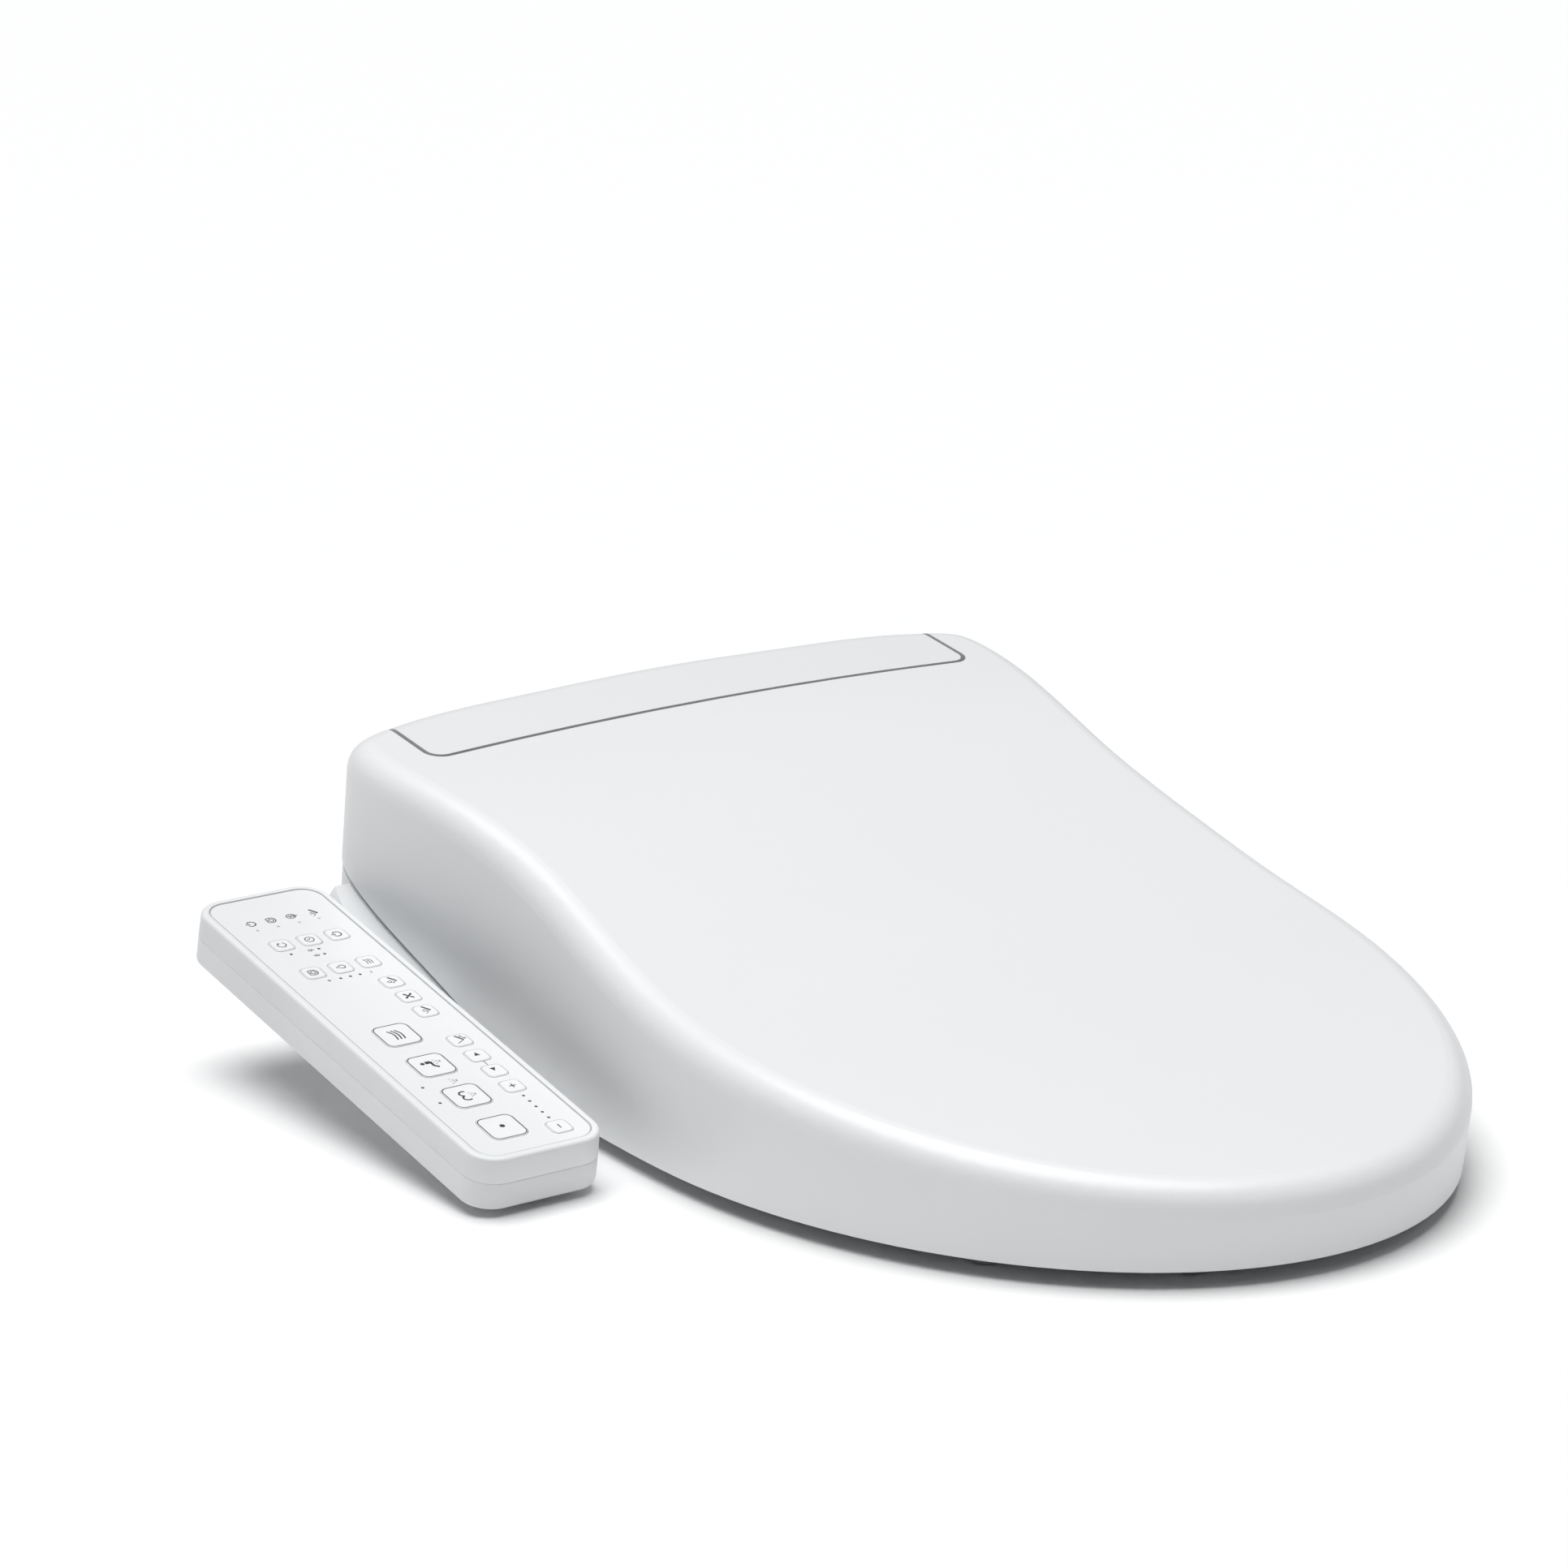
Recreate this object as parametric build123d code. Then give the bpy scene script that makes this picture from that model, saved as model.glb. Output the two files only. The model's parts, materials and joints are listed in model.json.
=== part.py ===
from build123d import *
import math
import os

# Electric bidet seat with a control arm. Millimetres.
# Origin: midway between the two bowl-fixing holes, on the plane of the bowl's rim.
# +X to the side away from the control arm, +Y to the rear, +Z up.

# --- driving dimensions -------------------------------------------------------
LID_TIP_Y = -465.0          # front tip of the lid's bottom edge
LID_BASE_Z = 8.0            # height of the lid's bottom edge over the rim
LID_HALF_WIDTH = 185.3      # widest half-width, at the end of the front half-ellipse
LID_FRONT_LENGTH = 254.4    # from the tip back to the widest place
LID_WAIST = [(182.0, 330.0), (178.0, 400.0), (185.5, 470.0), (190.0, 510.0)]
LID_REAR = [(183.0, 543.5), (160.0, 553.5), (80.0, 558.8), (0.0, 560.5)]
WALL_TILT = 8.4             # degrees that the walls lean forward as they rise
FRONT_HEIGHT = 36.0         # lid height over its bottom edge at the tip
TOP_SLOPE = 0.15            # rise of the top per millimetre of depth
SHOULDER_RISE = 26.5        # extra rise between the two shoulder places
SHOULDER_FROM, SHOULDER_TO = 240.0, 490.0
CROWN = 4.2                 # drop of the top at CROWN_AT from the middle
CROWN_AT = 160.0
EDGE_RADIUS = 14.0          # round between top and walls
SKIN = 3.0                  # lid, panel and case wall
GAP = 0.3                   # gap between separate bodies

CUT_REAR_Y, CUT_REAR_Z = 71.0, 90.7     # rear end of the lid's rising bottom edge
CUT_SLOPE = 0.52            # how steeply that edge falls to the front
HINGE_Y, HINGE_Z = 50.0, 128.0          # common axis of seat and lid
PIN_R = 6.0
PIN_CLEAR = 0.06                        # radial running clearance on the pin
PANEL_HALF, PANEL_FRONT_Y = 158.8, 19.2  # fixed rear top panel
PANEL_GROOVE = 2.4
PANEL_CORNER = 8.0
BODY_FRONT_Y = -58.0
CASE_HALF = 138.0           # central housing between the seat's hinge arms
DECK_Z = 30.0

BOLT_SPACING = 140.0        # bowl-fixing holes
BOLT_R = 5.0
PLATE_T = 3.0

SEAT_INSET = 8.0            # seat edge inside the lid's outline
SEAT_REAR_Y = -63.0
SEAT_Z = 5.0
SEAT_TOP_FRONT, SEAT_TOP_REAR = 33.0, 50.0
OPENING_HALF, OPENING_FRONT_Y, OPENING_REAR_Y = 102.0, -382.0, -108.0
ARM_X0, ARM_X1 = 141.0, 155.0           # seat hinge arm
HUB_R = 12.5

ARM_SLOPE = 11.63           # degrees that the control arm rises to the rear
ARM_CX = -242.2
LABEL_Y, LABEL_Z = -202.9, 28.6         # front end of the label, on its face
LABEL_W, LABEL_L, LABEL_R = 60.4, 254.9, 10.5
ARM_BORDER, ARM_T, ARM_R = 4.0, 25.5, 14.5
KEY_TRAVEL = 0.6
BIG_KEY = (19.0, 19.6, 4.2)             # width, length and corner radius
SMALL_KEY = (10.7, 10.9, 3.0)

WAND_PITCH = 35.0           # degrees below the horizontal
WAND_R, WAND_L, WAND_TRAVEL = 9.0, 128.0, 110.0
WAND_TIP_Y, WAND_TIP_Z = -49.0, 25.0
ROLLER_R = 6.0

BODY_REAR_Y = 78.0
TRAY_Z = 3.3                # underside of the tray, over the mounting plate
CASE_DROP = 9.5             # central housing below the lid's top
CASE_REAR_Y = 66.0
PANEL_SPLIT_Z = 118.0       # joint between the top panel and the rear cover
WAND_SLOT = 12.0
DRYER_X0, DRYER_X1 = 42.0, 84.0
CARTRIDGE_Y, CARTRIDGE_Z = (22.0, 52.0), (9.0, 25.0)
RELEASE_Y, RELEASE_Z = (-14.0, 6.0), (9.0, 21.0)
INLET_X, DRAIN_X, GLAND_X = -120.0, -76.0, 120.0
FITTING_Z = 21.5            # height of the inlet, drain plug and cord gland
POCKET_Y = 60.0             # front wall of the rear recesses
POCKETS = ((-142.0, -58.0), (98.0, 142.0))
FAN_Y, FAN_Z, FAN_R = 8.0, 75.0, 28.0
FAN_X0, FAN_X1 = 50.0, 78.0

ARM_MID = -12.0             # joint between the arm's two halves, below the label's face
LIGHT_R = 0.75
INLET_R = 10.4
SCREWS = [(x, y) for x in (-158.0, -110.0, 110.0, 158.0) for y in (-44.0, 12.0)]
VENT_X0 = 30.0              # first air slot of the rear cover
BRACKET_DROP = 16.0         # bracket's flat below the arm's top

# Small keys: place across (from the middle) and along (from the front end) of the label.
KEY_COLUMNS = (-13.6, 1.3, 16.2)
SMALL_KEYS = {"auto": (0, 207.8), "timer": (1, 207.8), "power": (2, 207.8),
              "seat_warmth": (0, 178.6), "water_warmth": (1, 178.6), "dryer_warmth": (2, 178.6),
              "wand_wash": (2, 157.4), "fan": (2, 142.2), "wand_clean": (2, 127.0),
              "oscillate": (2, 96.9), "wand_back": (2, 81.7), "wand_forward": (2, 66.6),
              "pressure_up": (2, 51.4), "pressure_down": (2, 12.0)}
BIG_KEY_X = -7.9
BIG_KEYS = {"dryer": 112.1, "front_wash": 81.8, "rear_wash": 51.6, "stop": 21.5}
KEYS = {name: (SMALL_KEY, KEY_COLUMNS[col], y) for name, (col, y) in SMALL_KEYS.items()}
KEYS.update({name: (BIG_KEY, BIG_KEY_X, y) for name, y in BIG_KEYS.items()})
LIGHTS = [(x, 225.2) for x in (-16.7, -5.5, 5.9, 16.7)]
LIGHTS += [(-13.8, 198.6), (1.1, 198.6), (1.1, 193.2)]
LIGHTS += [(x, 169.4) for x in (-4.1, 1.1, 6.3)] + [(-22.3, 65.8), (-22.3, 50.8)]
LIGHTS += [(16.2, 20.8 + 5.3 * i) for i in range(5)]


# --- helpers ------------------------------------------------------------------
def box(x0, x1, y0, y1, z0, z1):
    """A box between two corners."""
    return Pos((x0 + x1) / 2, (y0 + y1) / 2, (z0 + z1) / 2) * Box(x1 - x0, y1 - y0, z1 - z0)


def rod_x(y, z, r, x0, x1):
    """A cylinder along X."""
    return Pos((x0 + x1) / 2, y, z) * Rot(0, 90, 0) * Cylinder(r, x1 - x0)


def rod_y(x, z, r, y0, y1):
    """A cylinder along Y."""
    return Pos(x, (y0 + y1) / 2, z) * Rot(90, 0, 0) * Cylinder(r, y1 - y0)


def rod_z(x, y, r, z0, z1):
    """A cylinder along Z."""
    return Pos(x, y, (z0 + z1) / 2) * Cylinder(r, z1 - z0)


def both(shape):
    """A shape and its mirror image across the middle plane."""
    return shape + mirror(shape, about=Plane.YZ)


def side_slab(points, x0, x1):
    """A profile drawn in (y, z) and extruded from x0 to x1."""
    face = make_face(Plane.YZ * Polyline(*points, close=True))
    return Pos(x0, 0, 0) * extrude(face, amount=x1 - x0, dir=(1, 0, 0))


# --- the lid's envelope -------------------------------------------------------
def top_height(x, depth):
    """Height of the top over the bottom edge, crowned across and S-shaped front to rear."""
    t = min(max((depth - SHOULDER_FROM) / (SHOULDER_TO - SHOULDER_FROM), 0.0), 1.0)
    rise = SHOULDER_RISE * t * t * (3.0 - 2.0 * t)
    return FRONT_HEIGHT + TOP_SLOPE * depth + rise - CROWN * (x / CROWN_AT) ** 2


def prism(inset, height=175.0, drop=0.0):
    """The leaning prism on the lid's outline, moved in by inset; it starts drop below the edge."""
    y_mid = LID_TIP_Y + LID_FRONT_LENGTH
    a, b = LID_HALF_WIDTH - inset, LID_FRONT_LENGTH - inset
    side = [(a, LID_FRONT_LENGTH)] + [(x - inset, y) for x, y in LID_WAIST]
    rear = [(x - inset * 0.8, y - inset * 0.8) for x, y in LID_REAR[:1]]
    rear += [(x, y - inset) for x, y in LID_REAR[1:]]
    right = [(x, y + LID_TIP_Y) for x, y in side + rear]
    left = [(-x, y) for x, y in reversed(right[:-1])]
    front = EllipticalCenterArc((0, y_mid), a, b, start_angle=180, arc_size=180)
    back = Spline(*right, *left, tangents=((0, 1), (0, -1)))
    lean = math.tan(math.radians(WALL_TILT))
    face = Pos(0, drop * lean, LID_BASE_Z - drop) * make_face(front + back)
    length = (height + drop) / math.cos(math.radians(WALL_TILT))
    return extrude(face, amount=length, dir=(0, -lean, 1))


def under_top(offset):
    """Everything up to offset below the lid's crowned top."""
    lean = math.tan(math.radians(WALL_TILT))
    grid = []
    for i in range(9):
        x = -210.0 + 420.0 * i / 8
        row = []
        for j in range(17):
            depth = -60.0 + 680.0 * j / 16
            z = top_height(x, depth)
            row.append(Vector(x, depth - z * lean + LID_TIP_Y, z + LID_BASE_Z - offset))
        grid.append(row)
    face = Face.make_surface_from_array_of_points(grid)
    return extrude(face, amount=190.0, dir=(0, 0, -1))


def under_edge(gap):
    """All the space lower than gap below the lid's rising rear edge."""
    def edge(y):
        return CUT_REAR_Z + CUT_SLOPE * (y - CUT_REAR_Y) - gap
    return side_slab([(-160, edge(-160)), (150, edge(150)), (150, -160), (-160, -160)], -230, 230)


def dome(inset, offset, radius):
    """The lid's closed outer form, moved in by inset and down by offset, its top edge rounded."""
    solid = prism(inset) & under_top(offset)
    tops = [e for e in solid.edges() if e.center().Z > LID_BASE_Z + 5 and
            min(v.Z for v in e.vertices()) > LID_BASE_Z + 5]
    return fillet(tops, radius)


# --- body ---------------------------------------------------------------------
def tray_form(inset, floor):
    """The rear body's form below the lid's rising edge, moved in by inset, from floor up."""
    form = prism(inset, height=90.0, drop=LID_BASE_Z - floor)
    form &= box(-230, 230, BODY_FRONT_Y + inset, BODY_REAR_Y - inset, floor, 100)
    return form & under_edge(2.5)


def mounting_plate():
    """Bracket that stays on the bowl: a plate with two guide rails and two fixing holes."""
    plate = box(-96, 96, -26, 26, 0, PLATE_T) + both(box(90, 96, -26, 26, PLATE_T, 9))
    for x in (-BOLT_SPACING / 2, BOLT_SPACING / 2):
        plate -= rod_z(x, 0, BOLT_R, -1, PLATE_T + 1)
    return plate


def bowl_pads():
    """Rubber pads between the tray and the bowl's rim."""
    return both(box(118, 148, -20, 20, 0, TRAY_Z) + box(118, 148, 36, 56, 0, TRAY_Z))


def base_tray():
    """Lower casing of the rear body, open on top, with its outlets, slots and rear recesses."""
    wall = 0.5 + SKIN
    tray = tray_form(0.5, TRAY_Z) - tray_form(wall, TRAY_Z + SKIN)
    tray += box(-150, 150, BODY_FRONT_Y + 0.5, BODY_FRONT_Y + wall, TRAY_Z, DECK_Z - GAP)
    for x0, x1 in POCKETS:
        tray += box(x0 - 2, x1 + 2, POCKET_Y, BODY_REAR_Y - 2, TRAY_Z, 40)
        tray -= box(x0, x1, POCKET_Y + 2, BODY_REAR_Y + 2, TRAY_Z + SKIN, 38)
    tray -= box(-98, 98, -28, 28, TRAY_Z - 1, TRAY_Z + SKIN + 1)
    front = (BODY_FRONT_Y - 5, BODY_FRONT_Y + 8)
    tray -= box(-WAND_SLOT, WAND_SLOT, *front, TRAY_Z + SKIN, 60)
    tray -= box(DRYER_X0, DRYER_X1, *front, 8, 60)
    tray -= box(165, 230, CARTRIDGE_Y[0] - 0.4, CARTRIDGE_Y[1] + 0.4,
                CARTRIDGE_Z[0] - 0.4, CARTRIDGE_Z[1] + 0.4)
    tray -= box(165, 230, RELEASE_Y[0] - 0.4, RELEASE_Y[1] + 0.4,
                RELEASE_Z[0] - 0.4, RELEASE_Z[1] + 0.4)
    for x, r in ((INLET_X, 6.5), (DRAIN_X, 5.2), (GLAND_X, 6.5)):
        tray -= rod_y(x, FITTING_Z, r, POCKET_Y - 2, POCKET_Y + 4)
    for x, y in SCREWS:
        tray -= rod_z(x, y, 4.2, TRAY_Z - 1, TRAY_Z + 1.6) + rod_z(x, y, 1.7, TRAY_Z, TRAY_Z + 4)
    return tray


def case_screws():
    """Screws under the tray, with cross recesses in their heads."""
    screws = []
    for x, y in SCREWS:
        screw = rod_z(x, y, 3.6, TRAY_Z + 0.1, TRAY_Z + 1.6) + rod_z(x, y, 1.6, TRAY_Z, 14)
        cross = box(x - 2, x + 2, y - 0.4, y + 0.4, 0, TRAY_Z + 1)
        cross += box(x - 0.4, x + 0.4, y - 2, y + 2, 0, TRAY_Z + 1)
        screws.append(screw - cross)
    return sum_of(screws)


def case_form(inset):
    """The central housing's form: between the seat arms, below the lid and the top panel."""
    form = prism(6 + inset, height=170) & under_top(CASE_DROP + inset)
    form &= box(-CASE_HALF + inset, CASE_HALF - inset, BODY_FRONT_Y + 8 + inset,
                CASE_REAR_Y - inset, DECK_Z - 20, 170)
    slope = [(-50 + inset, 50), (5 + inset, 130), (5 + inset, 200), (-200, 200), (-200, 50)]
    return form - side_slab(slope, -200, 200)


def main_case():
    """Upper casing: the central housing and the deck beside it that closes the tray."""
    case = (case_form(0) & box(-230, 230, -200, 200, DECK_Z, 170)) - case_form(SKIN)
    case -= box(-CASE_HALF - 1, CASE_HALF + 1, 58, 80, DECK_Z - 5, 41)
    deck = prism(6, height=60) & box(-230, 230, BODY_FRONT_Y + 4, 58, DECK_Z, DECK_Z + SKIN)
    case += deck - box(-CASE_HALF + SKIN, CASE_HALF - SKIN, -200, 200, DECK_Z - 5, DECK_Z + 9)
    case += box(-CASE_HALF, CASE_HALF, BODY_FRONT_Y + 4, BODY_FRONT_Y + 11, DECK_Z, DECK_Z + SKIN)
    case -= box(-WAND_SLOT, WAND_SLOT, -200, -30, DECK_Z - 5, 41)
    return case - rod_x(HINGE_Y, HINGE_Z, PIN_R + 0.1, -200, 200)


def rear_shell():
    """The rounded shell behind the lid that the top panel and the rear cover are cut from."""
    outer = dome(0.5, 0.0, EDGE_RADIUS) & box(-230, 230, 0, BODY_REAR_Y - 0.5, 0, 200)
    inner = dome(0.5 + SKIN, SKIN, EDGE_RADIUS - SKIN)
    return outer - (inner & box(-230, 230, -20, BODY_REAR_Y - 0.5 - SKIN, 0, 200))


def top_panel(shell):
    """Fixed cover strip behind the lid: crowned, with its rear edge rolled down."""
    keep = box(-PANEL_HALF, PANEL_HALF, PANEL_FRONT_Y, 150, PANEL_SPLIT_Z, 200)
    return shell & fillet(keep.edges().filter_by(Axis.Z).group_by(Axis.Y)[0], PANEL_CORNER)


def rear_cover(shell):
    """Back wall of the body between the lid's two ears."""
    cover = shell & box(-PANEL_HALF, PANEL_HALF, 60, 150, 0, PANEL_SPLIT_Z - GAP)
    slots = 12
    for i in range(slots):
        x = VENT_X0 + 5.0 * i
        cover -= box(x, x + 2.2, 60, 150, 98, 110)
    return cover - under_edge(0.0)


def hinge_pins():
    """The two steel pins that carry the seat and the lid."""
    return both(rod_x(HINGE_Y, HINGE_Z, PIN_R, 128.2, 171.0))


def soft_close_dampers():
    """The two dampers on the inner ends of the hinge pins."""
    damper = rod_x(HINGE_Y, HINGE_Z, 6.8, 96, 128) + rod_x(HINGE_Y, HINGE_Z, 5.0, 88, 96)
    return both(damper)


def cartridge():
    """Deodorizer cartridge that slides out of the right side, its face flush with the tray."""
    block = box(120, 230, *CARTRIDGE_Y, *CARTRIDGE_Z)
    cell = box(126, 168, CARTRIDGE_Y[0] + 3, CARTRIDGE_Y[1] - 3, CARTRIDGE_Z[0] + 3, 40)
    return (block & tray_form(0.5, TRAY_Z)) - cell


def release_button():
    """Button on the right side that lets the body slide off its mounting plate."""
    button = box(168, 230, *RELEASE_Y, *RELEASE_Z) & tray_form(0.5, TRAY_Z)
    return button + box(160, 168, -8, 0, 12, 18)


def inlet_fitting():
    """Water inlet: a flange and a threaded stub that points to the rear."""
    fitting = rod_y(INLET_X, FITTING_Z, 6.4, POCKET_Y - 8, POCKET_Y + 2.2)
    fitting += rod_y(INLET_X, FITTING_Z, 13.0, POCKET_Y + 2.2, POCKET_Y + 4.2)
    fitting += rod_y(INLET_X, FITTING_Z, INLET_R, POCKET_Y + 4.2, BODY_REAR_Y - 2)
    return fitting - rod_y(INLET_X, FITTING_Z, 4.0, POCKET_Y, BODY_REAR_Y)


def drain_plug():
    """Round plug with a grip bar that closes the water filter."""
    plug = rod_y(DRAIN_X, FITTING_Z, 5.0, POCKET_Y - 12, POCKET_Y + 7)
    plug += rod_y(DRAIN_X, FITTING_Z, 10.0, POCKET_Y + 2.3, POCKET_Y + 7)
    return plug + box(DRAIN_X - 9, DRAIN_X + 9, POCKET_Y + 6, POCKET_Y + 13,
                      FITTING_Z - 2, FITTING_Z + 2)


def cord_gland():
    """Tapered rubber gland that the mains lead leaves by."""
    gland = rod_y(GLAND_X, FITTING_Z, 6.4, POCKET_Y - 3, POCKET_Y + 2.2)
    gland += rod_y(GLAND_X, FITTING_Z, 10.0, POCKET_Y + 2.2, POCKET_Y + 5)
    cone = Pos(GLAND_X, POCKET_Y + 10, FITTING_Z) * Rot(-90, 0, 0) * Cone(8.0, 5.5, 10.0)
    return gland + cone


# --- water, air and electrics -------------------------------------------------
def water_heater():
    """Warm-water tank with its two pipe stubs."""
    tank = fillet(box(-131, -84, -10, 45, 38, 88).edges(), 6.0)
    return tank + rod_z(-118, 35, 4, 32, 38.5) + rod_z(-98, 35, 4, 32, 38.5)


def solenoid_valve():
    """Inlet valve: a body with its coil on top."""
    return box(-72, -42, 8, 40, 8, 24) + rod_z(-57, 24, 11, 24, 44)


def water_pump():
    """Small pump: motor and head."""
    head = fillet(box(-76, -40, -6, 20, 50, 78).edges(), 3.0)
    return head + rod_y(-58, 64, 12, 20, 48)


def main_board():
    """Main circuit board with its transformer, capacitors and relays."""
    board = box(86, 131, -12, 52, 60, 61.6)
    board += box(90, 108, -6, 14, 61.6, 78) + box(113, 127, 24, 44, 61.6, 72)
    for y in (0, 12):
        board += rod_z(121, y, 5, 61.6, 76)
    return board


def dryer_duct():
    """Air duct from the fan down and forward to the outlet."""
    x0, x1, y0 = DRYER_X0 + 1, DRYER_X1 - 1, BODY_FRONT_Y + 4
    outer = box(x0, x1, y0, FAN_Y + 8, 8.4, 26) + box(x0, x1, -6, FAN_Y + 8, 26, 45.5)
    inner = box(x0 + 2, x1 - 2, y0 - 1, FAN_Y + 6, 10.4, 24)
    inner += box(x0 + 2, x1 - 2, -4, FAN_Y + 6, 20, 50)
    return outer - inner


def fan_housing():
    """Drum-shaped fan housing, open below into the duct and at its side to draw air."""
    drum = rod_x(FAN_Y, FAN_Z, FAN_R, FAN_X0, FAN_X1)
    drum -= rod_x(FAN_Y, FAN_Z, FAN_R - 2, FAN_X0 + 2, FAN_X1 - 2)
    drum -= rod_x(FAN_Y, FAN_Z, 12, FAN_X1 - 5, FAN_X1 + 1)
    drum -= rod_x(FAN_Y, FAN_Z, 1.6, FAN_X0 - 1, FAN_X0 + 5)
    return drum - box(FAN_X0 + 2, FAN_X1 - 2, 0, FAN_Y + 5, 40, FAN_Z - 20)


def fan_impeller():
    """Drum impeller on its shaft: a disc with straight blades round it."""
    x0 = FAN_X0 + 5
    wheel = rod_x(FAN_Y, FAN_Z, 22, x0, x0 + 1.6) + rod_x(FAN_Y, FAN_Z, 4, x0, x0 + 12)
    blades = 24
    for i in range(blades):
        blade = Pos(x0 + 8.6, 0, 19) * Box(14.4, 1.2, 5)
        wheel += Pos(0, FAN_Y, FAN_Z) * Rot(360.0 / blades * i, 0, 0) * blade
    return wheel + rod_x(FAN_Y, FAN_Z, 1.5, FAN_X0 - 0.5, x0)


def dryer_flap():
    """Flap in the air outlet, hung from a rod along its top edge."""
    flap = box(DRYER_X0 + 1.5, DRYER_X1 - 1.5, BODY_FRONT_Y + 0.8, BODY_FRONT_Y + 2.4, 9.2, 26.5)
    return flap + rod_x(BODY_FRONT_Y + 1.6, 27.3, 1.3, DRYER_X0 + 0.6, DRYER_X1 - 0.6)


# --- wand ---------------------------------------------------------------------
def on_wand(shape):
    """Puts a shape drawn on the wand's own axes in place: Z back along it, Y to its underside."""
    pitch = math.radians(WAND_PITCH)
    return Plane(origin=(0, WAND_TIP_Y, WAND_TIP_Z), x_dir=(1, 0, 0),
                 z_dir=(0, math.cos(pitch), math.sin(pitch))) * shape


def wand_tube():
    """The wand: a round tube."""
    return on_wand(rod_z(0, 0, WAND_R, 14, WAND_L) + rod_z(0, 0, 6.5, 10, 14))


def nozzle_tip():
    """Nozzle tip with its spray holes on the upper side."""
    tip = fillet(rod_z(0, 0, WAND_R, 0, 13.7).edges().group_by(Axis.Z)[0], 5.0)
    tip -= rod_z(0, 0, 6.6, 9.8, 20)
    for z in (5.5, 9.0):
        for x in (-1.6, 1.6):
            tip -= Pos(x, -7.5, z) * Rot(90, 0, 0) * Cylinder(0.6, 4)
    return on_wand(tip)


def wand_holder():
    """Cradle that guides the wand, with a ring at its rear end."""
    cradle = box(-14, 14, 2, 15, 26, 96) + box(-13, 13, -13, 15, 84, 96)
    feet = box(-20, 20, 12, 15, 40, 90)
    return on_wand(cradle + feet - rod_z(0, 0, WAND_R + 0.25, 20, 100))


def wand_roller():
    """Drive roller on the motor's shaft, drawn at its working diameter."""
    y, z = roller_centre()
    return rod_x(y, z, ROLLER_R, -5, 5) + rod_x(y, z, 1.5, 5, 13)


def roller_centre():
    """Where the roller's axis crosses the middle plane."""
    pitch, away = math.radians(WAND_PITCH), WAND_R + ROLLER_R + 0.05
    y = WAND_TIP_Y + 62 * math.cos(pitch) - away * math.sin(pitch)
    return y, WAND_TIP_Z + 62 * math.sin(pitch) + away * math.cos(pitch)


def wand_motor():
    """Stepper motor that turns the roller."""
    y, z = roller_centre()
    return rod_x(y, z, 11, 8, 28) - rod_x(y, z, 1.65, 7, 15)


# --- seat ---------------------------------------------------------------------
def seat_top_slab(drop):
    """Everything under the seat's sloping top, drop below it."""
    slope = (SEAT_TOP_REAR - SEAT_TOP_FRONT) / (SEAT_REAR_Y - LID_TIP_Y)
    z0, z1 = SEAT_TOP_FRONT - drop, SEAT_TOP_REAR - drop + 20 * slope
    return side_slab([(LID_TIP_Y, z0), (SEAT_REAR_Y + 20, z1), (SEAT_REAR_Y + 20, -5),
                      (LID_TIP_Y, -5)], -200, 200)


def seat_ring(inset, drop, low, high=100.0):
    """The seat's ring form between two heights, moved in by inset all round."""
    ring = prism(SEAT_INSET + inset, height=70, drop=LID_BASE_Z - low) & seat_top_slab(drop)
    ring &= box(-200, 200, LID_TIP_Y - 10, SEAT_REAR_Y - inset, low, high)
    mid, half = (OPENING_FRONT_Y + OPENING_REAR_Y) / 2, (OPENING_REAR_Y - OPENING_FRONT_Y) / 2
    hole = Pos(0, mid, -5) * Ellipse(OPENING_HALF + inset, half + inset)
    return ring - extrude(hole, amount=120)


def wand_relief(grow=0.0):
    """Space under the rear of the seat for the wand and the drying air, larger by grow."""
    low_y, high_z = -98 - 1.2 * grow, 30 + 1.2 * grow
    points = [(SEAT_REAR_Y + 5, high_z), (SEAT_REAR_Y, high_z), (low_y, SEAT_Z - 0.1),
              (low_y, -5), (SEAT_REAR_Y + 5, -5)]
    return side_slab(points, -16 - grow, DRYER_X1 + 5 + grow)


def seat_top_shell():
    """Upper seat shell: the sitting surface and its outer and inner walls."""
    ring = seat_ring(0, 0, SEAT_Z)
    tops = [e for e in ring.edges() if min(v.Z for v in e.vertices()) > SEAT_Z + 6
            and e.length > 200]
    ring = fillet(tops, 9.0)
    hollow = seat_ring(SKIN, SKIN, SEAT_Z - 1) - wand_relief(2.5)
    return ring - hollow - wand_relief()


def seat_base_shell():
    """Lower seat plate that closes the upper shell."""
    return seat_ring(SKIN + GAP, 0, SEAT_Z, SEAT_Z + 2.5) - wand_relief(2.5 + GAP)


def seat_heater():
    """Heating mat under the sitting surface."""
    mat = seat_ring(12, SKIN + 1, SEAT_Z + 5) - seat_ring(11, SKIN + 2, SEAT_Z)
    return mat - wand_relief(2.5 + GAP)


def seat_arms():
    """The two arms that join the seat to the hinge pins, one each side of the housing."""
    half = 7.0
    points = [(SEAT_REAR_Y, 36), (HINGE_Y + half, 36), (HINGE_Y + half, HINGE_Z),
              (HINGE_Y - half, HINGE_Z), (HINGE_Y - half, 64), (HINGE_Y - 21, 50),
              (SEAT_REAR_Y, 48)]
    arm = side_slab(points, ARM_X0, ARM_X1) + rod_x(HINGE_Y, HINGE_Z, HUB_R, ARM_X0, ARM_X1)
    return both(arm - rod_x(HINGE_Y, HINGE_Z, PIN_R + PIN_CLEAR, ARM_X0 - 1, ARM_X1 + 1))


def seat_buffers():
    """Rubber buffers that the seat rests on."""
    spots = ((150, -255), (120, -365), (140, -120), (55, -425))
    buffers = [both(rod_z(x, y, 8, 0, SEAT_Z)) for x, y in spots]
    return sum_of(buffers)


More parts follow.
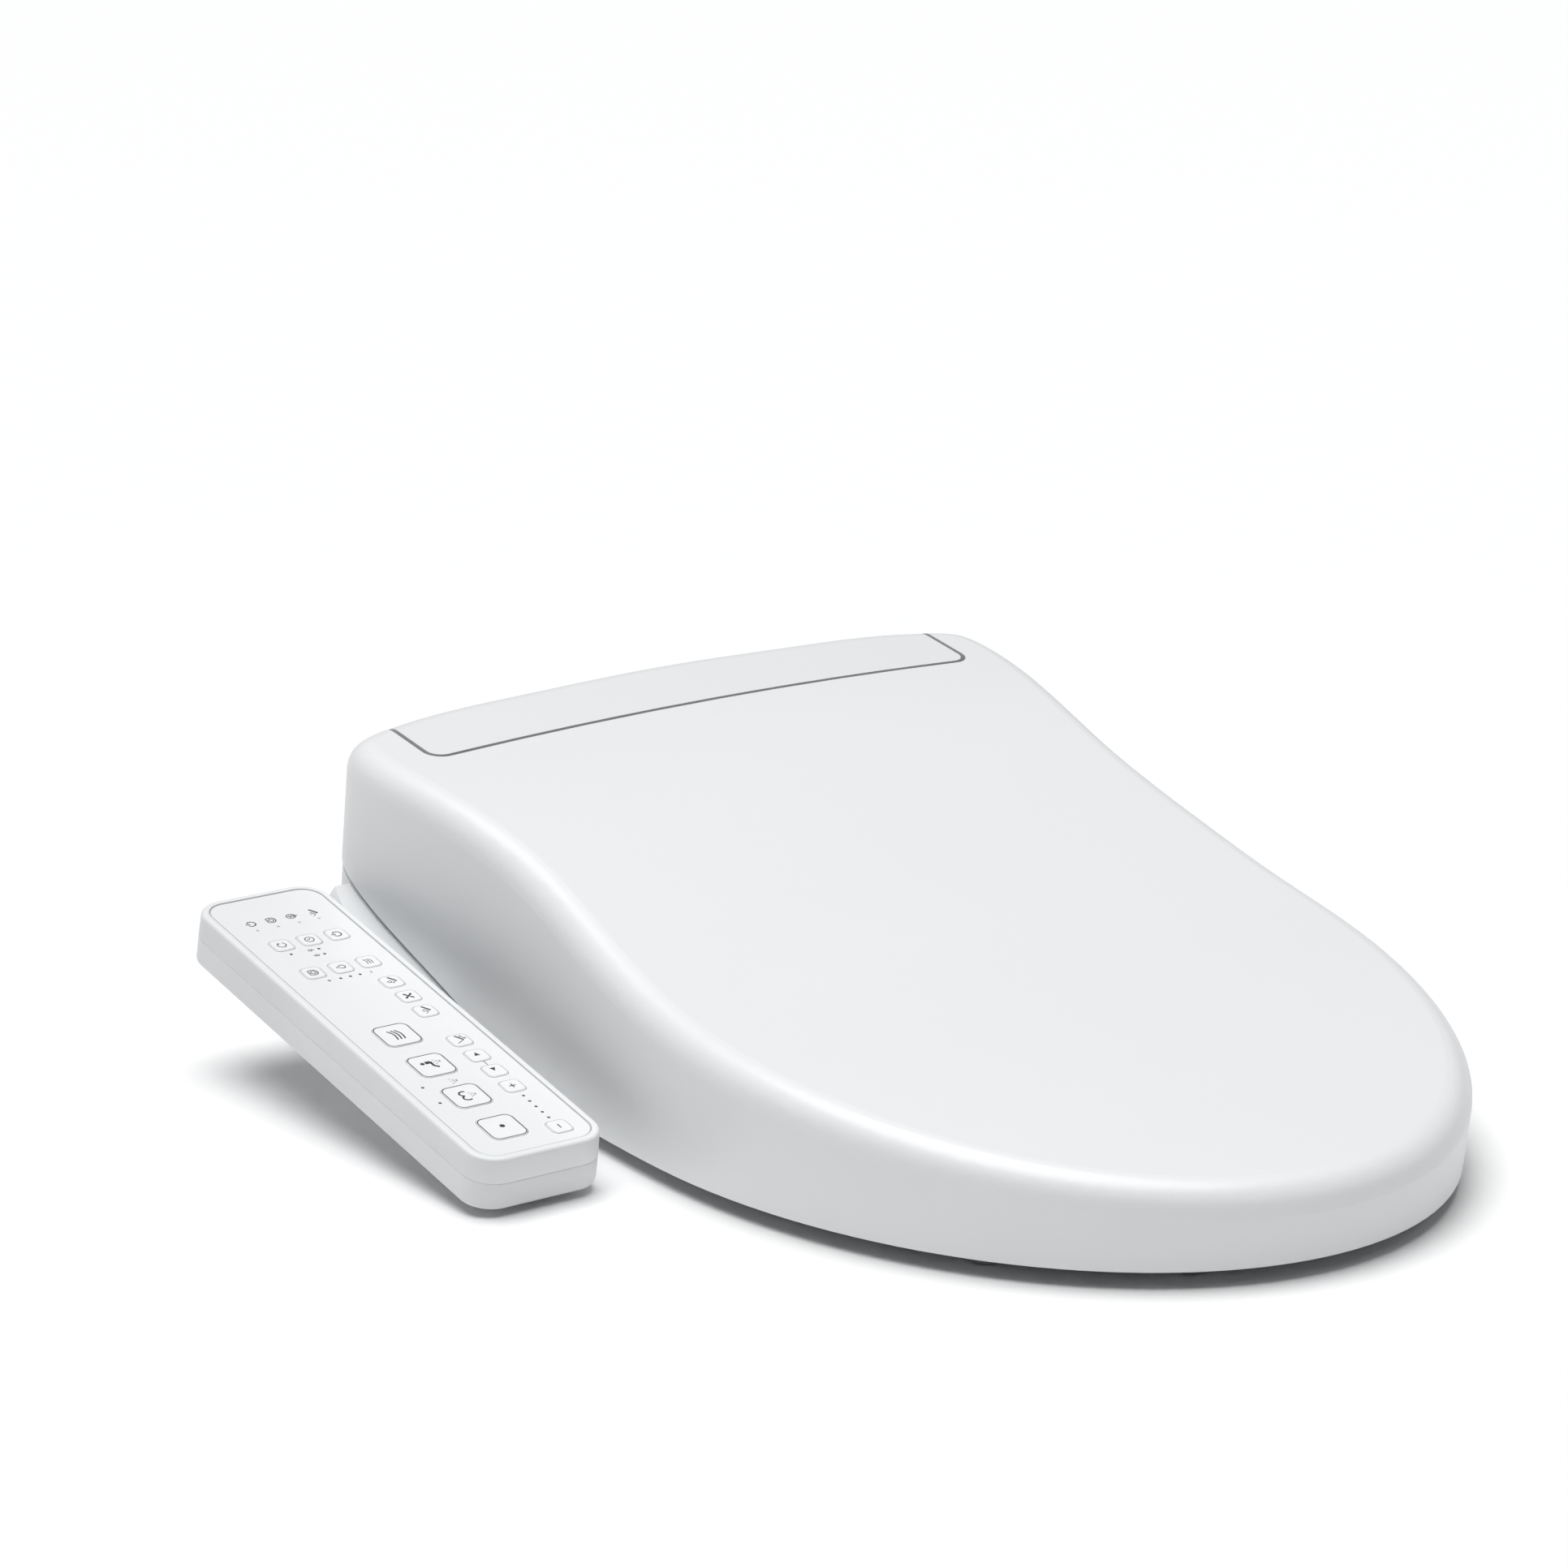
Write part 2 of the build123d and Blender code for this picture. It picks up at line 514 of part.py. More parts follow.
def sum_of(shapes):
    """One shape from a list of separate ones."""
    total = shapes[0]
    for shape in shapes[1:]:
        total += shape
    return total


# --- lid ----------------------------------------------------------------------
def lid_shell():
    """The lid: a crowned shell whose two rear ears reach back beside the top panel."""
    outer = dome(0, 0, EDGE_RADIUS)
    lid = outer - dome(SKIN, SKIN, EDGE_RADIUS - SKIN) - (prism(SKIN, 8, 2) & box(
        -230, 230, -600, 200, 0, LID_BASE_Z + 3))
    half, front = PANEL_HALF + PANEL_GROOVE, PANEL_FRONT_Y - PANEL_GROOVE
    ribs = both(box(half, half + SKIN, front, 150, 0, 200))
    lid += (outer & ribs) + both(rod_x(HINGE_Y, HINGE_Z, 12, half, half + 14))
    notch = box(-half, half, front, 150, 0, 200)
    lid -= fillet(notch.edges().filter_by(Axis.Z).group_by(Axis.Y)[0],
                  PANEL_CORNER + PANEL_GROOVE)
    lid -= both(rod_x(HINGE_Y, HINGE_Z, 9.05, half - 1, half + 11))
    return lid - under_edge(0.0)


def lid_bushes():
    """Plastic bushes that the lid turns on."""
    x0 = PANEL_HALF + PANEL_GROOVE + 0.3
    return both(rod_x(HINGE_Y, HINGE_Z, 9.0, x0, x0 + 10) -
                rod_x(HINGE_Y, HINGE_Z, PIN_R + PIN_CLEAR, x0 - 1, x0 + 11))


def lid_buffers():
    """Rubber buffers under the lid that meet the seat."""
    top = both(rod_z(120, -330, 6, 0, 200) + rod_z(60, -410, 6, 0, 200))
    return top & under_top(SKIN + 0.02) & side_slab(
        [(-460, SEAT_TOP_FRONT + 0.6), (-60, SEAT_TOP_REAR + 0.6), (-60, 200), (-460, 200)],
        -200, 200)


# --- control arm --------------------------------------------------------------
def on_arm(shape):
    """Puts a shape drawn on the label's own axes in place: X across, Y to the rear, Z out."""
    slope = math.radians(ARM_SLOPE)
    return Plane(origin=(ARM_CX, LABEL_Y, LABEL_Z), x_dir=(1, 0, 0),
                 z_dir=(0, -math.sin(slope), math.cos(slope))) * shape


def arm_block(inset, z0, z1, flare=0.0):
    """A rounded block on the label's axes, inset from the case's outline, wider below by flare."""
    w, length = LABEL_W + 2 * (ARM_BORDER - inset), LABEL_L + 2 * (ARM_BORDER - inset)
    radius = ARM_R - inset
    top = Pos(0, LABEL_L / 2, z1) * RectangleRounded(w, length, radius)
    low = Pos(0, LABEL_L / 2, z0) * RectangleRounded(w + 2 * flare, length + 2 * flare,
                                                     radius + flare)
    return loft([low, top])


def label_pocket(depth):
    """The shallow recess that the label lies in, on the label's axes."""
    return Pos(0, LABEL_L / 2, -depth) * extrude(
        RectangleRounded(LABEL_W + 0.4, LABEL_L + 0.4, LABEL_R + 0.2), amount=depth + 2)


def key_cap(size, clear, z0, z1):
    """A rounded-square key, clear larger all round, on the label's axes."""
    w, length, r = size
    return Pos(0, 0, z0) * extrude(RectangleRounded(w + 2 * clear, length + 2 * clear, r + clear),
                                   amount=z1 - z0)


def arm_upper_case():
    """Upper half of the arm's casing, with the recess for the label and holes for the keys."""
    half = arm_block(0, ARM_MID, 0.35, flare=0.6)
    half = fillet(half.faces().sort_by(Axis.Z)[-1].edges(), 3.0)
    half -= arm_block(SKIN, ARM_MID - 1, -4.0)
    half -= label_pocket(0.8)
    for size, x, y in KEYS.values():
        half -= Pos(x, y, 0) * key_cap(size, 0.2, -8, 2)
    return on_arm(half)


def arm_lower_case():
    """Lower half of the arm's casing."""
    half = arm_block(0, -ARM_T, ARM_MID - GAP, flare=0.7)
    half = fillet(half.faces().sort_by(Axis.Z)[0].edges(), 2.5)
    return on_arm(half - arm_block(SKIN, -ARM_T + SKIN, ARM_MID + 1))


def control_label():
    """Printed sheet over the arm, with a hole for each key and each status light."""
    sheet = Pos(0, LABEL_L / 2, -0.6) * extrude(
        RectangleRounded(LABEL_W, LABEL_L, LABEL_R), amount=0.6)
    for size, x, y in KEYS.values():
        sheet -= Pos(x, y, 0) * key_cap(size, 0.2, -2, 2)
    for x, y in LIGHTS:
        sheet -= rod_z(x, y, LIGHT_R + 0.05, -2, 1)
    return on_arm(sheet)


def status_lights():
    """Small round light windows in the label."""
    return on_arm(sum_of([rod_z(x, y, LIGHT_R, -0.6, 0.05) for x, y in LIGHTS]))


def key(name):
    """One key: a cap that stands a little proud of the label, on a wider foot."""
    size, x, y = KEYS[name]
    cap = key_cap(size, 0, -5.5, 0.3)
    foot = key_cap((size[0] * 0.5, size[1] * 0.5, 1.5), 0, -7.2, -5.5)
    return on_arm(Pos(x, y, 0) * (cap + foot))


def control_board():
    """Circuit board under the keys."""
    return on_arm(Pos(0, LABEL_L / 2, -9.8) * extrude(
        RectangleRounded(LABEL_W - 6, LABEL_L - 6, 8), amount=1.6))


def arm_bracket():
    """Saddle between the body and the control arm, hollowed above, with a foot under the arm."""
    rise = math.tan(math.radians(ARM_SLOPE))
    rear_y, outer_x, web_t = 50.0, ARM_CX + LABEL_W / 2 + ARM_BORDER + 1.1, 13.0
    arm_top = LABEL_Z + rise * (rear_y - LABEL_Y)
    low = arm_top - BRACKET_DROP
    x0 = outer_x + 4
    face = make_face(
        Polyline((x0 + BRACKET_DROP, arm_top), (x0 + BRACKET_DROP, arm_top + 20),
                 (-170, arm_top + 20), (-170, low - web_t), (outer_x, low - web_t),
                 (outer_x, low), (x0, low)) +
        RadiusArc((x0, low), (x0 + BRACKET_DROP, arm_top), BRACKET_DROP))
    web = extrude(Pos(0, rear_y, 0) * Rot(90, 0, 0) * face, amount=90 * math.hypot(1, rise),
                  dir=(0, -1, -rise))
    foot = on_arm(box(-8, ARM_CX * -1 - 190, 206, 250, -ARM_T - 4.5, -ARM_T - 0.3))
    return ((web & under_edge(3.0)) + foot) - tray_form(0.45, 0.0)


def main():
    """Build every node and write its STEP file."""
    os.makedirs("parts", exist_ok=True)
    shell = rear_shell()
    nodes = {
        "mounting_plate": mounting_plate(), "bowl_pads": bowl_pads(),
        "base_tray": base_tray(), "case_screws": case_screws(), "main_case": main_case(),
        "top_panel": top_panel(shell), "rear_cover": rear_cover(shell),
        "hinge_pins": hinge_pins(), "soft_close_dampers": soft_close_dampers(),
        "deodorizer_cartridge": cartridge(), "release_button": release_button(),
        "inlet_fitting": inlet_fitting(), "drain_plug": drain_plug(), "cord_gland": cord_gland(),
        "water_heater": water_heater(), "solenoid_valve": solenoid_valve(),
        "water_pump": water_pump(), "main_board": main_board(), "dryer_duct": dryer_duct(),
        "fan_housing": fan_housing(), "fan_impeller": fan_impeller(), "dryer_flap": dryer_flap(),
        "wand_tube": wand_tube(), "nozzle_tip": nozzle_tip(), "wand_holder": wand_holder(),
        "wand_roller": wand_roller(), "wand_motor": wand_motor(),
        "seat_top_shell": seat_top_shell(), "seat_base_shell": seat_base_shell(),
        "seat_heater": seat_heater(), "seat_arms": seat_arms(), "seat_buffers": seat_buffers(),
        "lid_shell": lid_shell(), "lid_bushes": lid_bushes(), "lid_buffers": lid_buffers(),
        "arm_upper_case": arm_upper_case(), "arm_lower_case": arm_lower_case(),
        "control_label": control_label(), "status_lights": status_lights(),
        "control_board": control_board(), "arm_bracket": arm_bracket(),
    }
    for name in KEYS:
        nodes[f"key_{name}"] = key(name)
    for name, shape in nodes.items():
        export_step(shape, f"parts/{name}.step")


if __name__ == "__main__":
    main()
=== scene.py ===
"""Electric bidet seat with a control arm: finished shells, keys, print, materials and lights.

Sizes are in millimetres until a mesh is written, and in metres in every mesh. The frame is the
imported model's: origin midway between the bowl-fixing holes, +Y to the rear, +Z up.
"""

import json
import logging
import math
from dataclasses import dataclass, replace
from enum import Enum

import bmesh
import bpy
import numpy as np
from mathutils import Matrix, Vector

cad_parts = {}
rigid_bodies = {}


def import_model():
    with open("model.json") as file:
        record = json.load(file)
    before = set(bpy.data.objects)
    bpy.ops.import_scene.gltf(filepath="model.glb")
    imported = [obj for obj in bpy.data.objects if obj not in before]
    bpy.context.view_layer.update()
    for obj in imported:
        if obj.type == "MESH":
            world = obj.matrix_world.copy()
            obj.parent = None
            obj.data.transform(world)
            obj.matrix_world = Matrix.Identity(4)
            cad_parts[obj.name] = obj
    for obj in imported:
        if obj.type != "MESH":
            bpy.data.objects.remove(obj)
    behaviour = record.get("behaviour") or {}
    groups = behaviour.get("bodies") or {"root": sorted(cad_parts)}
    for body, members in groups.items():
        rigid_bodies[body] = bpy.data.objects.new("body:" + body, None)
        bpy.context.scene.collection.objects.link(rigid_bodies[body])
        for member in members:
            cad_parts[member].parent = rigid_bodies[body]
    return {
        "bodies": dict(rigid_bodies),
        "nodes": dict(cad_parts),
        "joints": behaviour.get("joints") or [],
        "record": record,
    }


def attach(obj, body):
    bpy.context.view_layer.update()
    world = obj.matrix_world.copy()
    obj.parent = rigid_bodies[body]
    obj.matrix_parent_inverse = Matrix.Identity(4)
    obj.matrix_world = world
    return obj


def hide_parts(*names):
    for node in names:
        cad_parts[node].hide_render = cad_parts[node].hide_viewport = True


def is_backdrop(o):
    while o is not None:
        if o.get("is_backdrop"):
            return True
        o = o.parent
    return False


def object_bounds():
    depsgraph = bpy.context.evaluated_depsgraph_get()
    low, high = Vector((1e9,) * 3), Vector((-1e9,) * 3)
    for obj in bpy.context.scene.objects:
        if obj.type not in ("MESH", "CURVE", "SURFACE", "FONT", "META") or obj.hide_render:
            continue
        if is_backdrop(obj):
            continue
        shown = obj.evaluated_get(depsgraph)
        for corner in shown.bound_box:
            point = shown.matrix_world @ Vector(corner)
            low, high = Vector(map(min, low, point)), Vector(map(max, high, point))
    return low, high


LOG = logging.getLogger("bidet_seat")
METRE = 0.001                       # one millimetre in metres
MERGE_GAP = 1e-6                    # points closer than this, in metres, become one
SHARP_ANGLE = math.radians(38.0)    # edges sharper than this stay crisp in shading
BEVEL_ANGLE = math.radians(50.0)    # edges sharper than this get a rounded rim
RIM_STEPS = 2                       # faces across a rounded rim
SPECK = 0.06                        # how much the fine grain adds to the roughness
COAT_ROUGHNESS = 0.08
EDGE_SAMPLES = 4                    # how finely the shader looks for a node's own edges
INK_ROOT = 0.02                     # how far ink reaches into the face under it, in millimetres
LAST_STEP = 345                     # degrees where a full outline stops, short of its start

Pair = tuple[float, float]
Triple = tuple[float, float, float]


# --- curves and grids ---------------------------------------------------------
def left_of(points: np.ndarray, closed: bool = False) -> np.ndarray:
    """Finds the side directions of a plane line.

    Args:
        points: The line's points.
        closed: True if its last point runs on into its first.

    Returns:
        Unit directions to the left of the line's run, one row for each point.
    """
    if closed:
        run = np.roll(points, -1, axis=0) - np.roll(points, 1, axis=0)
    else:
        run = np.gradient(points, axis=0)
    run = run / np.linalg.norm(run, axis=1, keepdims=True)
    return np.stack([-run[:, 1], run[:, 0]], axis=1)


def rounded_loop(width: float, length: float, radius: float, corner: int, side: int) -> np.ndarray:
    """Rounded rectangle round the origin: four quarter circles joined by straight sides.

    Args:
        width: Full size along the first axis.
        length: Full size along the second axis.
        radius: Corner radius.
        corner: Steps round each corner.
        side: Steps along each straight side.

    Returns:
        The closed loop, turning left, without its first point again.
    """
    cx, cy = width / 2 - radius, length / 2 - radius
    turn = np.linspace(0.0, math.pi / 2, corner + 1)
    arcs = []
    for quarter, (sx, sy) in enumerate(((1, 1), (-1, 1), (-1, -1), (1, -1))):
        a = turn + quarter * math.pi / 2
        arcs.append(np.stack([sx * cx + radius * np.cos(a), sy * cy + radius * np.sin(a)], axis=1))
    parts = []
    for quarter in range(4):
        here, there = arcs[quarter], arcs[(quarter + 1) % 4]
        share = np.linspace(0.0, 1.0, side + 1)[1:-1, None]
        parts += [here, here[-1] * (1 - share) + there[0] * share]
    return np.concatenate(parts)


@dataclass
class Sheet:
    """A grid of points in millimetres, rows by columns, that becomes one surface.

    wrap joins the last column to the first. cap_first and cap_last close the end rows of a
    wrapped sheet with one face each. slot picks the material. toward is the side that the
    surface looks to on the whole; without it, the surface looks away from its own middle.
    """

    points: np.ndarray
    wrap: bool = False
    cap_first: bool = False
    cap_last: bool = False
    slot: int = 0
    toward: Triple | None = None

    def looks_back(self) -> bool:
        """Finds which way the grid's own order makes its faces look.

        A cell's normal is the cross product of its two diagonals.

        Returns:
            True if the faces would look the wrong way.
        """
        p = self.points
        if self.wrap:
            p = np.concatenate([p, p[:, :1]], axis=1)
        normal = np.cross(p[1:, 1:] - p[:-1, :-1], p[1:, :-1] - p[:-1, 1:])
        if self.toward is not None:
            return float(normal.sum(axis=(0, 1)) @ np.array(self.toward)) < 0
        middle = (p[1:, 1:] + p[:-1, :-1]) / 2 - p.reshape(-1, 3).mean(axis=0)
        return float((normal * middle).sum()) < 0

    def faces(self, start: int) -> list[tuple[int, ...]]:
        """Lists its faces.

        Args:
            start: Number of its first vertex in the mesh.

        Returns:
            Vertex numbers of each face, in the order that makes it look the right way.
        """
        rows, cols = self.points.shape[:2]
        number = start + np.arange(rows * cols).reshape(rows, cols)
        if self.wrap:
            number = np.concatenate([number, number[:, :1]], axis=1)
        quads = np.stack([number[:-1, :-1], number[:-1, 1:], number[1:, 1:], number[1:, :-1]],
                         axis=-1).reshape(-1, 4)
        faces = [tuple(q) for q in quads.tolist()]
        if self.cap_first:
            faces.append(tuple(number[0, :cols][::-1].tolist()))
        if self.cap_last:
            faces.append(tuple(number[-1, :cols].tolist()))
        return [f[::-1] for f in faces] if self.looks_back() else faces


def build(name: str, sheets: list[Sheet], bevel: float = 0.0) -> bpy.types.Object:
    """Makes one finished object at the origin from several sheets.

    Args:
        name: Object name.
        sheets: The surfaces, in millimetres.
        bevel: Width of the rounded edges, in millimetres.

    Returns:
        The object, with its modifiers applied.
    """
    verts, faces, slots = [], [], []
    start = 0
    for sheet in sheets:
        own = sheet.faces(start)
        faces += own
        slots += [sheet.slot] * len(own)
        verts.append(sheet.points.reshape(-1, 3))
        start += len(verts[-1])
    mesh = bpy.data.meshes.new(name)
    mesh.from_pydata((np.concatenate(verts) * METRE).tolist(), [], faces)
    mesh.polygons.foreach_set("material_index", np.array(slots, dtype=np.int32))
    merged = bmesh.new()
    merged.from_mesh(mesh)
    bmesh.ops.remove_doubles(merged, verts=merged.verts, dist=MERGE_GAP)
    merged.to_mesh(mesh)
    merged.free()
    for _ in range(max(slots) + 1):
        mesh.materials.append(None)
    obj = bpy.data.objects.new(name, mesh)
    bpy.context.scene.collection.objects.link(obj)
    if bevel:
        rim = obj.modifiers.new("rim", "BEVEL")
        rim.width, rim.segments, rim.limit_method = bevel * METRE, RIM_STEPS, "ANGLE"
        rim.angle_limit = BEVEL_ANGLE
    settle(obj)
    LOG.info("%s: %d faces", name, len(obj.data.polygons))
    return obj


def settle(obj: bpy.types.Object) -> None:
    """Applies the modifiers and smooths the surface up to its sharp edges.

    Args:
        obj: The object, whose mesh is replaced by the finished one.
    """
    graph = bpy.context.evaluated_depsgraph_get()
    mesh = bpy.data.meshes.new_from_object(obj.evaluated_get(graph))
    obj.modifiers.clear()
    obj.data = mesh
    mesh.shade_smooth()
    mesh.set_sharp_from_angle(angle=SHARP_ANGLE)
    mesh.name = obj.name


# --- finishes -----------------------------------------------------------------
class Surface(Enum):
    """Which shared effect a finish is made with."""

    MOULDED = "moulded surface"
    BRUSHED = "brushed surface"
    BOARD = "board surface"


def new_group(kind: Surface, numbers: dict[str, float]) -> tuple:
    """Starts a group: place, two colours and numbers in; colour, roughness and height out.

    Args:
        kind: Its name.
        numbers: Default of each number.

    Returns:
        The group, its input node and its output node.
    """
    group = bpy.data.node_groups.new(kind.value, "ShaderNodeTree")
    face = group.interface
    face.new_socket("Position", in_out="INPUT", socket_type="NodeSocketVector")
    for name in ("Colour", "Shade"):
        face.new_socket(name, in_out="INPUT", socket_type="NodeSocketColor")
    for name, value in numbers.items():
        face.new_socket(name, in_out="INPUT", socket_type="NodeSocketFloat").default_value = value
    face.new_socket("Colour", in_out="OUTPUT", socket_type="NodeSocketColor")
    for name in ("Roughness", "Height"):
        face.new_socket(name, in_out="OUTPUT", socket_type="NodeSocketFloat")
    return group, group.nodes.new("NodeGroupInput"), group.nodes.new("NodeGroupOutput")


def add_node(tree: bpy.types.NodeTree, kind: str, links: dict | None = None,
             **values: object) -> bpy.types.Node:
    """Adds a node, sets its properties and fills its inputs.

    Args:
        tree: Where the node goes.
        kind: Its type.
        links: For each named or numbered input, the output that feeds it or its constant.
        values: Properties of the node itself.

    Returns:
        The node.
    """
    node = tree.nodes.new(kind)
    for name, value in values.items():
        setattr(node, name, value)
    for socket, source in (links or {}).items():
        if isinstance(source, bpy.types.NodeSocket):
            tree.links.new(source, node.inputs[socket])
        else:
            node.inputs[socket].default_value = source
    return node


def moulded_group() -> bpy.types.NodeTree:
    """Moulded plastic, rubber or film: cloudy tone, uneven gloss and a fine grain in relief.

    Returns:
        The shared effect.
    """
    group, inside, out = new_group(Surface.MOULDED, {
        "Cloud": 14.0, "Grain": 1800.0, "Low": 0.2, "High": 0.3})
    cloud = add_node(group, "ShaderNodeTexNoise", {
        "Vector": inside.outputs["Position"], "Scale": inside.outputs["Cloud"], "Detail": 4.0})
    fine = add_node(group, "ShaderNodeTexNoise", {
        "Vector": inside.outputs["Position"], "Scale": inside.outputs["Grain"], "Detail": 2.0})
    patch = add_node(group, "ShaderNodeMapRange", {
        "Value": cloud.outputs["Fac"], "From Min": 0.35, "From Max": 0.65})
    mixed = add_node(group, "ShaderNodeMix", {
        0: patch.outputs[0], 6: inside.outputs["Colour"], 7: inside.outputs["Shade"]},
        data_type="RGBA")
    gloss = add_node(group, "ShaderNodeMapRange", {
        "Value": cloud.outputs["Fac"], "From Min": 0.3, "From Max": 0.7,
        "To Min": inside.outputs["Low"], "To Max": inside.outputs["High"]})
    speck = add_node(group, "ShaderNodeMath", {0: fine.outputs["Fac"], 1: SPECK},
                     operation="MULTIPLY")
    rough = add_node(group, "ShaderNodeMath", {0: gloss.outputs[0], 1: speck.outputs[0]},
                     operation="ADD")
    group.links.new(mixed.outputs[2], out.inputs["Colour"])
    group.links.new(rough.outputs[0], out.inputs["Roughness"])
    group.links.new(fine.outputs["Fac"], out.inputs["Height"])
    return group


def brushed_group() -> bpy.types.NodeTree:
    """Ground or drawn metal: fine streaks along X in tone, gloss and relief.

    Returns:
        The shared effect.
    """
    group, inside, out = new_group(Surface.BRUSHED, {
        "Cloud": 20.0, "Grain": 900.0, "Low": 0.22, "High": 0.4})
    stretch = add_node(group, "ShaderNodeMapping", {
        "Vector": inside.outputs["Position"], "Scale": (0.03, 1.0, 1.0)})
    streak = add_node(group, "ShaderNodeTexNoise", {
        "Vector": stretch.outputs[0], "Scale": inside.outputs["Grain"], "Detail": 3.0})
    mixed = add_node(group, "ShaderNodeMix", {
        0: streak.outputs["Fac"], 6: inside.outputs["Colour"], 7: inside.outputs["Shade"]},
        data_type="RGBA")
    rough = add_node(group, "ShaderNodeMapRange", {
        "Value": streak.outputs["Fac"], "To Min": inside.outputs["Low"],
        "To Max": inside.outputs["High"]})
    group.links.new(mixed.outputs[2], out.inputs["Colour"])
    group.links.new(rough.outputs[0], out.inputs["Roughness"])
    group.links.new(streak.outputs["Fac"], out.inputs["Height"])
    return group


def board_group() -> bpy.types.NodeTree:
    """Circuit board: straight tracks in blocks of a lighter green under the lacquer.

    Returns:
        The shared effect.
    """
    group, inside, out = new_group(Surface.BOARD, {
        "Cloud": 120.0, "Grain": 400.0, "Low": 0.25, "High": 0.35})
    blocks = add_node(group, "ShaderNodeTexBrick", {
        "Vector": inside.outputs["Position"], "Color1": (1, 1, 1, 1), "Color2": (0.7, 0.7, 0.7, 1),
        "Mortar": (0, 0, 0, 1), "Scale": inside.outputs["Cloud"], "Mortar Size": 0.03})
    mixed = add_node(group, "ShaderNodeMix", {
        0: blocks.outputs["Color"], 6: inside.outputs["Shade"], 7: inside.outputs["Colour"]},
        data_type="RGBA")
    rough = add_node(group, "ShaderNodeMapRange", {
        "Value": blocks.outputs["Fac"], "To Min": inside.outputs["Low"],
        "To Max": inside.outputs["High"]})
    group.links.new(mixed.outputs[2], out.inputs["Colour"])
    group.links.new(rough.outputs[0], out.inputs["Roughness"])
    group.links.new(blocks.outputs["Fac"], out.inputs["Height"])
    return group


@dataclass(frozen=True)
class Finish:
    """One finish: two tones of a colour, its range of roughness, its grain and its coat.

    cloud and grain are how many cloudy patches and grains there are in a metre, relief_mm is the
    grain's depth, and soft_edge_mm is how far a node's own edges look rounded.
    """

    colour: Triple
    shade: Triple
    low: float = 0.25
    high: float = 0.35
    cloud: float = 14.0
    grain: float = 1800.0
    relief_mm: float = 0.004
    metallic: float = 0.0
    coat: float = 0.0
    surface: Surface = Surface.MOULDED
    soft_edge_mm: float = 0.0

    def material(self, name: str, groups: dict[Surface, bpy.types.NodeTree]) -> bpy.types.Material:
        """Makes the material.

        Args:
            name: The material's name.
            groups: The shared effects.

        Returns:
            A material whose colour, roughness and relief come from the shared effect.
        """
        made = bpy.data.materials.new(name)
        made.use_nodes = True
        tree = made.node_tree
        shader = tree.nodes["Principled BSDF"]
        shader.inputs["Metallic"].default_value = self.metallic
        shader.inputs["Coat Weight"].default_value = self.coat
        shader.inputs["Coat Roughness"].default_value = COAT_ROUGHNESS
        place = add_node(tree, "ShaderNodeTexCoord")
        effect = add_node(tree, "ShaderNodeGroup", node_tree=groups[self.surface])
        tree.links.new(place.outputs["Object"], effect.inputs["Position"])
        effect.inputs["Colour"].default_value = (*self.colour, 1.0)
        effect.inputs["Shade"].default_value = (*self.shade, 1.0)
        for socket, value in (("Cloud", self.cloud), ("Grain", self.grain), ("Low", self.low),
                              ("High", self.high)):
            effect.inputs[socket].default_value = value
        bump = add_node(tree, "ShaderNodeBump", {
            "Height": effect.outputs["Height"], "Strength": 1.0,
            "Distance": self.relief_mm * METRE})
        if self.soft_edge_mm:
            edge = add_node(tree, "ShaderNodeBevel", {"Radius": self.soft_edge_mm * METRE},
                            samples=EDGE_SAMPLES)
            tree.links.new(edge.outputs[0], bump.inputs["Normal"])
        tree.links.new(effect.outputs["Colour"], shader.inputs["Base Color"])
        tree.links.new(effect.outputs["Roughness"], shader.inputs["Roughness"])
        tree.links.new(bump.outputs[0], shader.inputs["Normal"])
        return made


def tone(value: float, blue: float = 0.0) -> Triple:
    """A grey, with a little blue if wanted."""
    return (value - blue, value, value + blue)


